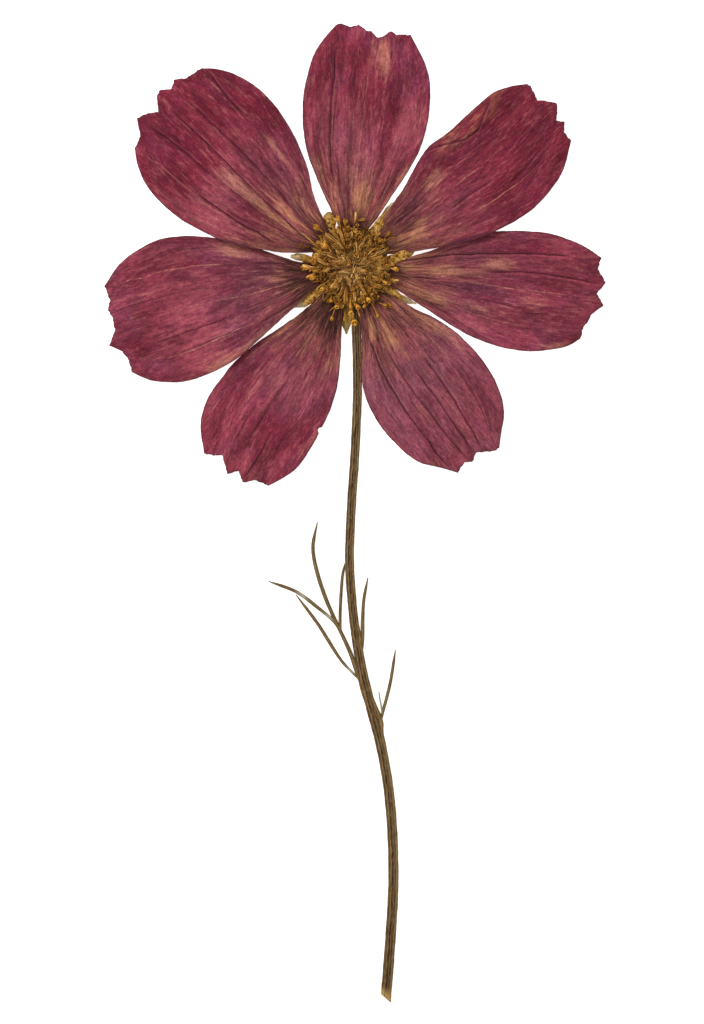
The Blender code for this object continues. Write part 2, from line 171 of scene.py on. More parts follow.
class Painter:
    """Builds one node material, a node at a time. Its tone is the surface colour so far."""

    def __init__(self, name: str) -> None:
        """Starts a material with a Principled shader.

        Args:
            name: The material's name.
        """
        self.material = bpy.data.materials.new(name)
        self.material.use_nodes = True
        self.tree = self.material.node_tree
        self.surface = self.tree.nodes["Principled BSDF"]
        self.tone: Socket | None = None

    def node(self, kind: str, settings: dict, inputs: dict) -> bpy.types.Node:
        """Adds a node.

        Args:
            kind: Its type.
            settings: Its properties by name.
            inputs: A constant or a socket for each named or numbered input.

        Returns:
            The node.
        """
        made = self.tree.nodes.new(kind)
        for key, value in settings.items():
            setattr(made, key, value)
        for key, value in inputs.items():
            if isinstance(value, Socket):
                self.tree.links.new(value, made.inputs[key])
            else:
                made.inputs[key].default_value = value
        return made

    def mark(self, name: str) -> Socket:
        """Reads a number that the mesh carries at each point."""
        return self.node("ShaderNodeAttribute", {"attribute_name": name}, {}).outputs["Fac"]

    def flow(self, stretch: tuple[float, float, float]) -> Socket:
        """Reads the mesh's own flow coordinates, stretched.

        Args:
            stretch: Cycles per millimetre across and along the piece, and a share of its seed.

        Returns:
            The stretched vector.
        """
        raw = self.node("ShaderNodeAttribute", {"attribute_name": "flow"}, {}).outputs["Vector"]
        return self.node("ShaderNodeVectorMath", {"operation": "MULTIPLY"}, {0: raw, 1: stretch}).outputs[0]

    def place(self, per_millimetre: float) -> Socket:
        """Reads the place in the object's own space.

        Args:
            per_millimetre: How many units of pattern fit in a millimetre.

        Returns:
            The scaled vector.
        """
        raw = self.node("ShaderNodeTexCoord", {}, {}).outputs["Object"]
        scale = per_millimetre / MM
        return self.node("ShaderNodeVectorMath", {"operation": "SCALE"}, {0: raw, "Scale": scale}).outputs[0]

    def noise(self, vector: Socket, detail: float, rough: float, warp: float) -> Socket:
        """Adds a noise of unit size on a vector.

        Args:
            vector: Where it is read.
            detail: Octaves.
            rough: How strong the finer octaves are.
            warp: How far the noise bends itself.

        Returns:
            The noise, from 0 to 1.
        """
        inputs = {"Vector": vector, "Scale": 1.0, "Detail": detail, "Roughness": rough, "Distortion": warp}
        return self.node("ShaderNodeTexNoise", {}, inputs).outputs["Fac"]

    def span(self, value: Socket, low: float, high: float, top: float = 1.0) -> Socket:
        """Stretches the part of a value between low and high over 0 to top.

        Args:
            value: The value.
            low: What becomes 0.
            high: What becomes top.
            top: The largest result.

        Returns:
            The stretched value.
        """
        inputs = {0: value, 1: low, 2: high, 3: 0.0, 4: top}
        return self.node("ShaderNodeMapRange", {"interpolation_type": "SMOOTHSTEP"}, inputs).outputs[0]

    def step(self, operation: str, a: object, b: object) -> Socket:
        """Works out one arithmetic step.

        Args:
            operation: The Math node's operation.
            a: First number or socket.
            b: Second number or socket.

        Returns:
            The result.
        """
        return self.node("ShaderNodeMath", {"operation": operation}, {0: a, 1: b}).outputs[0]

    def near(self, value: Socket, target: float, reach: float, core: float) -> Socket:
        """Tells how near a value is to a target.

        Args:
            value: The value.
            target: Where the result is 1.
            reach: How far off the result falls to 0.
            core: How far off it is still 1.

        Returns:
            The nearness, from 0 to 1.
        """
        off = self.step("ABSOLUTE", self.step("SUBTRACT", value, target), 0.0)
        return self.span(off, reach, core)

    def ragged(self, mark: str, noise: Socket, low: float, high: float) -> Socket:
        """Gives a soft mark a ragged edge.

        Args:
            mark: The mark that the mesh carries.
            noise: What frays it.
            low: The frayed mark that becomes 0.
            high: The frayed mark that becomes 1.

        Returns:
            The frayed mark, from 0 to 1.
        """
        fray = self.step("MULTIPLY", self.step("SUBTRACT", noise, 0.5), 2.8)
        return self.span(self.step("ADD", self.mark(mark), fray), low, high)

    def blend(self, share: object, below: object, above: object, way: str = "MIX") -> Socket:
        """Lays one colour over another.

        Args:
            share: How much of the upper colour shows.
            below: The lower colour, or its socket.
            above: The upper colour, or its socket.
            way: The blend type.

        Returns:
            The mixed colour.
        """
        settings = {"data_type": "RGBA", "blend_type": way}
        node = self.node("ShaderNodeMix", settings, {0: share})
        for slot, value in ((6, below), (7, above)):
            if isinstance(value, Socket):
                self.tree.links.new(value, node.inputs[slot])
            else:
                node.inputs[slot].default_value = (*value, 1.0)
        return node.outputs[2]

    def over(self, colour: object, *shares: object) -> None:
        """Lays a colour over the tone so far, by the product of some shares.

        Args:
            colour: The colour that goes over it, or its socket.
            shares: Shares from 0 to 1, each a socket or a number. The first is a socket.
        """
        share = shares[0]
        for other in shares[1:]:
            share = self.step("MULTIPLY", share, other)
        self.tone = self.blend(share, self.tone, colour)

    def lit(self, share: Socket, dark: Colour, bright: Colour) -> None:
        """Multiplies the tone so far by a light that runs from dark to bright.

        Args:
            share: How bright the light is, from 0 to 1.
            dark: The light at 0.
            bright: The light at 1.
        """
        self.tone = self.blend(1.0, self.tone, self.blend(share, dark, bright), "MULTIPLY")

    def finish(self, rough: float, bumps: list[tuple[Socket, float]]) -> None:
        """Joins the tone and relief to the shader.

        Args:
            rough: The surface's roughness.
            bumps: Pairs of a height socket and its depth in millimetres.
        """
        self.tree.links.new(self.tone, self.surface.inputs["Base Color"])
        self.surface.inputs["Roughness"].default_value = rough
        self.surface.inputs["Metallic"].default_value = 0.0
        self.surface.inputs["Specular IOR Level"].default_value = SHINE
        normal = None
        for height, depth in bumps:
            inputs = {"Height": height, "Distance": depth * MM, "Strength": 1.0}
            if normal is not None:
                inputs["Normal"] = normal
            normal = self.node("ShaderNodeBump", {}, inputs).outputs[0]
        if normal is not None:
            self.tree.links.new(normal, self.surface.inputs["Normal"])


@dataclass(frozen=True)
class PetalFinish:
    """Dried burgundy petal: streaked along its veins, tan where it has faded.

    Its creases are painted with shade and a highlight beside them, its dark foot is partly painted shade
    next to the disc, and painted shade lies where it covers another petal.
    """

    wine: Colour = (0.160, 0.012, 0.030)
    burgundy: Colour = (0.245, 0.031, 0.060)
    # rose: the petal's rose tone, and also the painted highlight beside each crease.
    rose: Colour = (0.36, 0.080, 0.105)
    mauve: Colour = (0.30, 0.120, 0.150)
    umber: Colour = (0.245, 0.086, 0.078)
    faded: Colour = (0.49, 0.230, 0.110)
    blush: Colour = (0.43, 0.170, 0.125)
    thread: Colour = (0.47, 0.195, 0.165)
    # plum: the petal's plum streaks and patches, and also painted shade beside creases and over covered
    # petals.
    plum: Colour = (0.098, 0.018, 0.040)
    violet: Colour = (0.175, 0.036, 0.090)
    # crease_shade: painted shade down the middle of each crease.
    crease_shade: Colour = (0.045, 0.010, 0.013)
    gleam: Colour = (0.58, 0.31, 0.18)
    # foot: the dark of the petal's foot, also painted as shade next to the disc.
    foot: Colour = (0.038, 0.013, 0.007)
    edge: Colour = (0.115, 0.036, 0.034)
    wobble: float = 0.10

    def wavering(self, p: Painter, mark: str, seed: float) -> Socket:
        """Reads a line's distance mark, with the line made to waver a little.

        Args:
            p: The material so far.
            mark: The distance mark's name.
            seed: Tells one wavering from another.

        Returns:
            The wavering distance mark.
        """
        waver = p.noise(p.flow((1.1, 0.45, seed)), 2.0, 0.5, 0.0)
        shift = p.step("MULTIPLY", p.step("SUBTRACT", waver, 0.5), self.wobble)
        return p.step("ADD", p.mark(mark), shift)

    def patterns(self, p: Painter) -> dict[str, Socket]:
        """Builds the noises that run along the petal's veins, from broad clouds to fine hairs.

        Args:
            p: The material so far.

        Returns:
            Each noise by its name.
        """
        rows = {
            "clouds": ((0.20, 0.085, 1.0), 3.0, 0.55, 0.5),
            "hues": ((0.13, 0.07, 12.0), 3.0, 0.6, 0.8),
            "mottle": ((0.60, 0.20, 8.0), 4.0, 0.65, 0.4),
            "streaks": ((0.85, 0.11, 2.0), 3.0, 0.6, 0.3),
            "fibres": ((2.6, 0.40, 3.0), 3.0, 0.6, 0.3),
            "hairs": ((6.0, 1.0, 4.0), 2.0, 0.6, 0.2),
            "specks": ((1.7, 1.15, 5.0), 4.0, 0.7, 0.6),
            "drifts": ((0.36, 0.13, 15.0), 2.0, 0.5, 0.6),
        }
        return {name: p.noise(p.flow(stretch), *rest) for name, (stretch, *rest) in rows.items()}

    def ground(self, p: Painter, noise: dict[str, Socket]) -> None:
        """Paints the petal's own colour: clouded, streaked and mottled, and browned near its foot.

        Args:
            p: The material so far.
            noise: The noises by name.
        """
        clouds, streaks, mottle = noise["clouds"], noise["streaks"], noise["mottle"]
        p.tone = p.blend(p.span(clouds, 0.40, 0.60), self.wine, self.burgundy)
        for share, colour in (
            (p.span(clouds, 0.55, 0.75, 0.45), self.rose),
            (p.span(noise["hues"], 0.46, 0.68, 0.55), self.violet),
            (p.mark("mauve"), self.mauve),
            (p.mark("warm"), self.umber),
            (p.span(streaks, 0.50, 0.68, 0.42), self.rose),
            (p.span(streaks, 0.46, 0.30, 0.40), self.wine),
            (p.span(mottle, 0.52, 0.70, 0.38), self.rose),
            (p.span(mottle, 0.47, 0.31, 0.48), self.wine),
            (p.mark("deep"), self.wine),
        ):
            p.over(colour, share)
        p.over(self.plum, p.mark("warm"), p.span(streaks, 0.52, 0.42, 0.72))
        p.over(self.faded, p.mark("warm"), p.span(mottle, 0.51, 0.60, 0.72))

    def patched(self, p: Painter, noise: dict[str, Socket]) -> None:
        """Lays on the patches of other tones, each with a frayed edge.

        Args:
            p: The material so far.
            noise: The noises by name.
        """
        frayed = p.step("ADD", p.step("ADD", noise["streaks"], noise["mottle"]), noise["fibres"])
        frayed = p.step("MULTIPLY", frayed, 1 / 3)
        for mark, colour, most in (
            ("rose", self.rose, 0.60), ("red", self.wine, 0.75), ("plum", self.plum, 0.75)
        ):
            p.over(colour, p.ragged(mark, frayed, 0.15, 1.0), most)
        bleached = p.blend(p.mark("warm"), self.blush, self.faded)
        p.over(bleached, p.ragged("tan", frayed, 0.15, 1.05), 0.85)

    def fibred(self, p: Painter, noise: dict[str, Socket]) -> None:
        """Draws the fibres and hairs, stronger where the petal has browned, and its dark foot.

        The foot is partly the petal's own colour and partly painted shade next to the disc, and painted
        shade is laid where the petal covers another.

        Args:
            p: The material so far.
            noise: The noises by name.
        """
        fibres, hairs = noise["fibres"], noise["hairs"]
        p.over(self.thread, p.span(fibres, 0.52, 0.72, 0.32))
        p.over(self.plum, p.span(fibres, 0.48, 0.30, 0.50))
        p.over(self.thread, p.span(hairs, 0.54, 0.74, 0.30))
        p.over(self.plum, p.span(hairs, 0.46, 0.28, 0.40))
        p.over(self.faded, p.mark("warm"), p.span(fibres, 0.52, 0.64, 0.40))
        p.over(self.foot, p.mark("warm"), p.span(fibres, 0.46, 0.36, 0.55))
        p.lit(p.mark("warm"), (1.0, 1.0, 1.0), (1.12, 1.14, 0.78))
        # The dark foot: partly the petal's own colour, partly painted shade where it meets the disc.
        p.over(self.foot, p.mark("foot"), p.span(fibres, 0.80, 0.42))
        # Painted shade where this petal lies over another.
        p.over(self.plum, p.mark("painted_overlap_shade"))

    def lined(self, p: Painter, noise: dict[str, Socket]) -> None:
        """Draws the pale veins, the creases and the rim.

        Each crease is a dark line of painted shade, with a painted highlight on one side and painted
        shade on the other.

        Args:
            p: The material so far.
            noise: The noises by name.
        """
        far = self.wavering(p, "gleam_far", 9.0)
        drawn = p.step("MULTIPLY", p.mark("gleam_power"), p.near(far, 0.5, 0.07, 0.0))
        p.over(self.gleam, drawn, p.span(noise["hairs"], 0.30, 0.62), 0.72)
        far = self.wavering(p, "crease_far", 6.0)
        power = p.mark("crease_power")
        # Painted highlight along the lit side of each crease.
        p.over(self.rose, power, p.near(far, 0.63, 0.13, 0.0), 0.36)
        # Painted shade beside each crease, on its other side.
        p.over(self.plum, power, p.near(far, 0.45, 0.20, 0.0), 0.32)
        # Painted shade: a dark line down each crease.
        drawn = p.step("MULTIPLY", power, p.near(far, 0.5, 0.072, 0.02))
        p.over(self.crease_shade, drawn, p.span(noise["fibres"], 0.15, 0.40))
        p.over(self.edge, p.mark("rim"))

    def make(self) -> bpy.types.Material:
        """Builds the material.

        Returns:
            The material.
        """
        p = Painter("dried_petal")
        noise = self.patterns(p)
        grain = p.noise(p.place(4.0), 3.0, 0.7, 0.0)
        self.ground(p, noise)
        self.patched(p, noise)
        self.fibred(p, noise)
        self.lined(p, noise)
        p.over(p.blend(1.0, p.tone, (1.02, 0.86, 0.89), "MULTIPLY"), p.mark("rich"))
        for pattern, low in ((grain, 0.78), (noise["specks"], 0.76), (noise["drifts"], 0.77)):
            p.lit(p.span(pattern, 0.30, 0.70), (low, low, low), (2 - low, 2 - low, 2 - low))
        p.finish(0.68, [(noise["fibres"], 0.05), (noise["hairs"], 0.025), (grain, 0.035)])
        return p.material


@dataclass(frozen=True)
class FloretFinish:
    """Dried disc floret: greyish olive in the middle of the head, golden ochre at its rim.

    It carries painted shade at its root, inside its mouth and down its middle, and painted highlights
    along its edges.
    """

    # root: dark brown, for dark flecks and lines, and for painted shade at roots, in mouths and down middles.
    root: Colour = (0.048, 0.015, 0.004)
    olive: Colour = (0.350, 0.170, 0.046)
    ochre: Colour = (0.350, 0.145, 0.021)
    amber: Colour = (0.60, 0.290, 0.026)
    pale: Colour = (0.80, 0.53, 0.20)

    def make(self) -> bpy.types.Material:
        """Builds the material.

        Returns:
            The material.
        """
        p = Painter("dried_floret")
        lines = p.noise(p.flow((5.5, 0.8, 5.0)), 3.0, 0.6, 0.2)
        grain = p.noise(p.place(3.0), 3.0, 0.65, 0.3)
        p.tone = p.blend(p.mark("age"), self.ochre, self.olive)
        p.over(self.root, p.span(grain, 0.52, 0.36, 0.45))
        p.over(self.amber, p.mark("ripe"), p.span(grain, 0.35, 0.60))
        p.over(self.pale, p.span(lines, 0.53, 0.68, 0.72))
        p.over(self.root, p.span(lines, 0.47, 0.32, 0.80))
        # Painted shade down the middle of each floret, and painted highlights along its edges.
        side = p.step("ABSOLUTE", p.step("SUBTRACT", p.mark("side"), 0.5), 0.0)
        p.over(self.root, p.span(side, 0.10, 0.0, 0.55))
        p.over(self.pale, p.span(side, 0.26, 0.42, 0.60))
        # Painted shade at each floret's root, under its neighbours, stronger in the outer florets.
        root_shade = p.step("ADD", p.step("MULTIPLY", p.span(p.mark("age"), 1.0, 0.0), 0.45), 0.50)
        p.over(self.root, root_shade, p.span(p.mark("along"), 0.42, 0.0))
        # Painted shade inside the mouths of cupped florets.
        p.over(self.root, p.mark("hollow"), 0.8)
        p.lit(p.mark("tint"), (0.42, 0.37, 0.35), (1.58, 1.54, 1.42))
        p.finish(0.42, [(lines, 0.06), (grain, 0.03)])
        return p.material


@dataclass(frozen=True)
class StalkFinish:
    """Dried stem or leaf: olive brown, clouded with plum, with an ochre side, painted shade in its grooves
    and painted highlights on its ribs.
    """

    name: str
    # groove: dark brown, for dark threads and fibres and for painted shade in the grooves.
    groove: Colour
    body: Colour
    plum: Colour
    # rib: pale tan, for pale blotches and threads and for painted highlights on the ribs.
    rib: Colour
    ochre: Colour
    cut: Colour = (0.47, 0.285, 0.105)
    bleach: Colour = (0.50, 0.44, 0.33)

    def make(self) -> bpy.types.Material:
        """Builds the material.

        Returns:
            The material.
        """
        p = Painter(self.name)
        fibres = p.noise(p.flow((5.5, 0.45, 1.0)), 4.0, 0.7, 0.15)
        threads = p.noise(p.flow((7.5, 0.8, 4.0)), 2.0, 0.6, 0.25)
        blotches = p.noise(p.flow((1.1, 0.16, 7.0)), 3.0, 0.6, 0.6)
        beads = p.noise(p.flow((3.6, 5.0, 9.0)), 2.0, 0.6, 0.2)
        p.tone = p.blend(p.span(blotches, 0.46, 0.60, 0.8), self.body, self.plum)
        p.over(self.rib, p.span(blotches, 0.46, 0.34, 0.6))
        p.over(self.ochre, p.mark("warm"), p.span(fibres, 0.34, 0.56))
        p.over(self.rib, p.span(threads, 0.54, 0.66, 0.65))
        p.over(self.groove, p.span(threads, 0.47, 0.34, 0.60))
        # Painted highlight on the raised ribs.
        p.over(self.rib, p.mark("rib"), p.span(fibres, 0.30, 0.50))
        p.over(self.groove, p.span(fibres, 0.47, 0.32, 0.60))
        # Painted shade in the grooves, and darker towards the stalk's end.
        p.over(self.groove, p.mark("groove"), p.span(threads, 0.85, 0.45))
        p.over(self.cut, p.mark("cut"))
        p.over(self.bleach, p.mark("bleached"))
        p.lit(p.span(beads, 0.28, 0.72), (0.78, 0.77, 0.76), (1.22, 1.22, 1.20))
        p.finish(0.55, [(fibres, 0.05), (threads, 0.03), (beads, 0.02)])
        return p.material


@dataclass(frozen=True)
class BractFinish:
    """Dried bract: olive gold with darker veins and a pale papery margin towards its tip."""

    olive: Colour = (0.260, 0.175, 0.040)
    gold: Colour = (0.52, 0.245, 0.032)
    vein: Colour = (0.085, 0.034, 0.008)
    margin: Colour = (0.66, 0.56, 0.33)
    pale: Colour = (0.80, 0.56, 0.24)

    def make(self) -> bpy.types.Material:
        """Builds the material.

        Returns:
            The material.
        """
        p = Painter("dried_bract")
        lines = p.noise(p.flow((3.2, 0.30, 1.0)), 4.0, 0.6, 0.2)
        clouds = p.noise(p.place(0.8), 3.0, 0.6, 0.5)
        p.tone = p.blend(p.span(clouds, 0.35, 0.62, 0.5), self.olive, self.gold)
        p.over(self.gold, p.mark("gold"))
        p.over(self.vein, p.span(lines, 0.48, 0.28, 0.6))
        p.over(self.margin, p.span(lines, 0.56, 0.80, 0.5))
        lumps = p.noise(p.place(2.2), 3.0, 0.65, 0.6)
        p.over(self.vein, p.mark("gold"), p.span(lumps, 0.49, 0.40, 0.95))
        p.over(self.pale, p.mark("gold"), p.span(lumps, 0.54, 0.63, 0.80))
        p.over(self.margin, p.mark("papery"))
        p.over(self.vein, p.mark("groove"))
        p.finish(0.6, [(lines, 0.05), (lumps, 0.10)])
        return p.material


# ---------------- shaping


@dataclass
class Form:
    """What a shaping rule gives for every point of a grid."""

    points: Array
    flow: Array
    marks: dict[str, Array] = field(default_factory=dict)


class Wrap(Enum):
    """How a grid is closed once it is in place."""

    OPEN = "an open sheet"
    TUBE = "a tube with closed ends"


def dressed(obj: bpy.types.Object, material: bpy.types.Material, nodes: tuple[str, ...]) -> None:
    """Gives a piece its finish and its body, and hides the solids that it stands for.

    Args:
        obj: The piece.
        material: Its finish.
        nodes: The solids that it replaces.
    """
    obj.data.materials.clear()
    obj.data.materials.append(material)
    obj.data.shade_smooth()
    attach(obj, BODY)
    if nodes:
        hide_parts(*nodes)
    LOG.info("%s: %d faces", obj.name, len(obj.data.polygons))


def linked(name: str, mesh: Mesh) -> bpy.types.Object:
    """Puts a mesh in the scene as an object at the origin.

    Args:
        name: The object's name.
        mesh: The mesh.

    Returns:
        The object.
    """
    obj = bpy.data.objects.new(name, mesh)
    bpy.context.scene.collection.objects.link(obj)
    return obj


def baked(name: str, bm: bmesh.types.BMesh) -> Mesh:
    """Turns a bmesh into a new mesh, and frees it.

    Args:
        name: The mesh's name.
        bm: The bmesh.

    Returns:
        The mesh.
    """
    mesh = bpy.data.meshes.new(name)
    bm.to_mesh(mesh)
    bm.free()
    return mesh


def grid_mesh(name: str, across: int, along: int, shape: Callable[[Array, Array], Form], wrap: Wrap) -> Mesh:
    """Makes a flat grid and bends it into shape.

    Args:
        name: The mesh's name.
        across: Cells across the piece.
        along: Cells along it.
        shape: Gives the form at shares across and along.
        wrap: Whether the two long sides meet.

    Returns:
        The mesh, in metres, with its flow and marks as attributes.
    """
    bm = bmesh.new()
    bmesh.ops.create_grid(bm, x_segments=across, y_segments=along, size=0.5)
    mesh = baked(name, bm)
    flat = np.empty(len(mesh.vertices) * 3)
    mesh.vertices.foreach_get("co", flat)
    flat = flat.reshape(-1, 3)
    form = shape(np.clip(flat[:, 0] + 0.5, 0, 1), np.clip(flat[:, 1] + 0.5, 0, 1))
    mesh.vertices.foreach_set("co", (form.points * MM).ravel())
    flow = mesh.attributes.new("flow", "FLOAT_VECTOR", "POINT")
    flow.data.foreach_set("vector", form.flow.ravel())
    for mark, values in form.marks.items():
        layer = mesh.attributes.new(mark, "FLOAT", "POINT")
        layer.data.foreach_set("value", np.clip(values, 0, 1))
    if wrap is Wrap.TUBE:
        bm = bmesh.new()
        bm.from_mesh(mesh)
        bmesh.ops.remove_doubles(bm, verts=bm.verts[:], dist=1e-8)
        bmesh.ops.holes_fill(bm, edges=bm.edges[:], sides=0)
        bmesh.ops.recalc_face_normals(bm, faces=bm.faces[:])
        bm.to_mesh(mesh)
        bm.free()
    mesh.update()
    return mesh


def thickened(obj: bpy.types.Object, thickness: float) -> None:
    """Gives a sheet its thickness, below the surface that was shaped.

    Args:
        obj: The sheet.
        thickness: In millimetres.
    """
    wall = obj.modifiers.new("wall", "SOLIDIFY")
    wall.thickness = thickness * MM
    wall.offset = -1.0
    bpy.context.view_layer.objects.active = obj
    bpy.ops.object.modifier_apply(modifier=wall.name)


# ---------------- petals


class Tone(Enum):
    """What a patch on a petal does to its colour."""

    TAN = "tan"
    ROSE = "rose"
    RED = "red"
    PLUM = "plum"


@dataclass(frozen=True)
class Line:
    """A line that runs out along a petal, as (share out, share across) points from its foot."""

    route: tuple[Point, ...]
    strength: float = 1.0
    width: float = 0.2

    def profile(self, across: Array, out: Array, width: Array) -> tuple[Array, Array]:
        """Reads the line at every point of the petal.

        Args:
            across: Share across each point.
            out: Share out of each point.
            width: The petal's width there, in millimetres.

        Returns:
            The line's fading at its ends, and each point's distance from it in millimetres.
        """
        shares = [point[0] for point in self.route]
        centre = np.interp(out, shares, [point[1] for point in self.route])
        start, end = shares[0], shares[-1]
        fade = smooth(start - 0.03, start + 0.05, out) * smooth(end + 0.03, end - 0.06, out)
        return fade, (across - centre) * width


@dataclass(frozen=True)
class Patch:
    """A soft spot of another tone on a petal, placed and sized in shares of it."""

    across: float
    out: float
    width: float
    length: float
    strength: float = 1.0

    def weight(self, across: Array, out: Array) -> Array:
        """How strong the patch is at each point."""
        square = ((across - self.across) / self.width) ** 2 + ((out - self.out) / self.length) ** 2
        return self.strength * np.exp(-(square**1.3) * 0.75)


@dataclass(frozen=True)
class RayPetal:
    """One ray petal. Its outline is (along, across) its own heading, across positive to the left."""

    name: str
    heading: float
    left: tuple[Point, ...]
    teeth: tuple[Point, ...]
    right: tuple[Point, ...]
    creases: tuple[Line, ...]
    gleams: tuple[Line, ...]
    patches: dict[Tone, tuple[Patch, ...]]
    seed: int
    # covers: the petals that this one lies over; painted shade is laid where it covers them.
    covers: tuple[str, ...] = ()
    left_raised_to: float = 0.0
    right_raised_to: float = 0.0
    folded: bool = False
    # foot_reach: how far out the dark foot reaches, as a share; partly the petal's own colour, partly painted
    # shade.
    foot_reach: float = 0.09
    warm: float = 0.75
    mauve: float = 0.05
    deep: float = 0.0
    nicks: tuple[Point, ...] = ()


@dataclass
class Corolla:
    """The ring of ray petals, and how each lies."""

    petals: tuple[RayPetal, ...]
    claw_radius: float = 5.2
    claw_half_width: float = 1.7
    claw_height: float = 1.2
    slope_start: float = 9.6
    slope_end: float = 14.0
    raised_slope: float = 7.5
    surface: float = 0.42
    thickness: float = 0.13
    lowest: float = 0.16
    reach: float = 33.0
    edge_length: float = 34.0
    fan_width: float = 20.0
    pleat_depth: float = 0.11
    fold_height: float = 0.34
    rib_depth: float = 0.035
    swell_depth: float = 0.03
    crease_depth: float = 0.16
    crease_shoulder: float = 0.08
    gleam_height: float = 0.05
    edge_droop: float = 0.10
    vein_count: int = 16
    cells_across: int = 150
    cells_along: int = 156

    def flat_frame(self, petal: RayPetal) -> tuple[Array, Array]:
        """The petal's outward and leftward directions in plan."""
        turn = math.radians(petal.heading)
        out = np.array([math.cos(turn), math.sin(turn)])
        return out, np.array([-out[1], out[0]])

    def veins(self, petal: RayPetal) -> tuple[Line, ...]:
        """Draws the faint creases that run out along a petal's veins, half of them from near its foot.

        They are not pressed into the petal: only the finish paints them, with shade and a highlight.

        Args:
            petal: The petal.

        Returns:
            The creases.
        """
        rng = random.Random(petal.seed)
        lines = []
        for _ in range(self.vein_count):
            start = rng.uniform(0.02, 0.75) if rng.random() < 0.5 else rng.uniform(0.01, 0.12)
            end = min(0.96, start + rng.uniform(0.10, 0.38))
            place = rng.uniform(0.06, 0.94)
            drift = (0.5 - place) * rng.uniform(-0.02, 0.12)
            lines.append(Line(((start, place), (end, place + drift)), rng.uniform(0.18, 0.5), 0.15))
        return tuple(lines)

    def plan(self, petal: RayPetal, across: Array, out: Array) -> Array:
        """Lays the grid into the petal's outline.

        Args:
            petal: The petal.
            across: Shares across from the left edge.
            out: Shares out from the foot.

        Returns:
            (along, across) points in millimetres.
        """
        left = ((self.claw_radius, self.claw_half_width), *petal.left, petal.teeth[0])
        right = ((self.claw_radius, -self.claw_half_width), *petal.right, petal.teeth[-1])
        width = petal.teeth[0][1] - petal.teeth[-1][1]
        tip_across = petal.teeth[0][1] - across * width
        tip_along = np.interp(-tip_across, [-a for _, a in petal.teeth], [s for s, _ in petal.teeth])
        tip_along = tip_along + 0.10 * wander(petal.seed, 4, 1.6, tip_across)
        tip = np.stack([tip_along, tip_across], axis=1)
        foot = np.array(left[0]) * (1 - across)[:, None] + np.array(right[0]) * across[:, None]
        chord = np.array(left[-1]) * (1 - across)[:, None] + np.array(right[-1]) * across[:, None]
        ragged = 0.05 * wander(petal.seed + 5, 5, 5.0, out * self.edge_length)
        for place, depth in petal.nicks:
            ragged = ragged - depth * np.exp(-(((out - place) / 0.012) ** 4))
        sides = (curve(left, out) + np.stack([0 * out, ragged], axis=1)) * (1 - across)[:, None]
        frayed = 0.05 * wander(petal.seed + 6, 5, 5.0, out * self.edge_length)
        sides = sides + (curve(right, out) + np.stack([0 * out, frayed], axis=1)) * across[:, None]
        return sides + (tip - chord) * out[:, None]

    def outline(self, petal: RayPetal) -> Array:
        """Walks round the petal in plan.

        Args:
            petal: The petal.

        Returns:
            Its outline, as a closed ring of points on the ground.
        """
        run = np.linspace(0, 1, 60)
        none, full = np.zeros(60), np.ones(60)
        ring = np.concatenate([
            self.plan(petal, none, run),
            self.plan(petal, run, full),
            self.plan(petal, full, run[::-1]),
        ])
        ahead, side = self.flat_frame(petal)
        return ring[:, :1] * ahead + ring[:, 1:] * side

    def height(self, petal: RayPetal, across: Array, out: Array, radius: Array) -> Array:
        """Works out how high the petal lies: on the receptacle, on the surface, and over what it covers.

        Args:
            petal: The petal.
            across: Shares across from the left edge.
            out: Shares out from the foot.
            radius: Each point's distance from the middle of the flower, in millimetres.

        Returns:
            Heights in millimetres over the petal's own surface height.
        """
        level = 1 - smooth(self.slope_start, self.slope_end, radius)
        for raised_to, beside in ((petal.left_raised_to, across), (petal.right_raised_to, 1 - across)):
            if raised_to:
                edge_level = 1 - smooth(raised_to, raised_to + self.raised_slope, radius)
                level = level + (np.maximum(edge_level, level) - level) * smooth(0.42, 0.18, beside)
        lying = smooth(0.25, 0.55, out) * (1 - level)
        pleats = self.pleat_depth * (1 - np.cos(8 * math.pi * across)) * lying
        return self.claw_height * level + pleats

    def relief(self, petal: RayPetal, across: Array, out: Array, width: Array) -> Array:
        """Works out the fine ribs, creases and ridges pressed into the petal.

        Args:
            petal: The petal.
            across: Shares across from the left edge.
            out: Shares out from the foot.
            width: The petal's width there, in millimetres.

        Returns:
            Heights in millimetres.
        """
        seed, lateral, run = petal.seed, across * self.fan_width, out * self.reach
        ribs = self.rib_depth * wander(seed + 11, 5, 2.2, lateral + 0.5 * wander(seed, 2, 9.0, run))
        ribs += self.swell_depth * wander(seed + 12, 3, 6.0, lateral) * wander(seed + 13, 3, 11.0, run)
        relief = ribs * smooth(0.0, 0.2, out)
        for line in petal.creases:
            fade, distance = line.profile(across, out, width)
            relief -= self.crease_depth * line.strength * fade * np.exp(-((distance / line.width) ** 2))
            shoulder = np.exp(-(((distance - 0.42) / 0.35) ** 2))
            relief += self.crease_shoulder * line.strength * fade * shoulder
        for line in petal.gleams:
            fade, distance = line.profile(across, out, width)
            relief += self.gleam_height * line.strength * fade * np.exp(-((distance / 0.2) ** 2))
        return relief

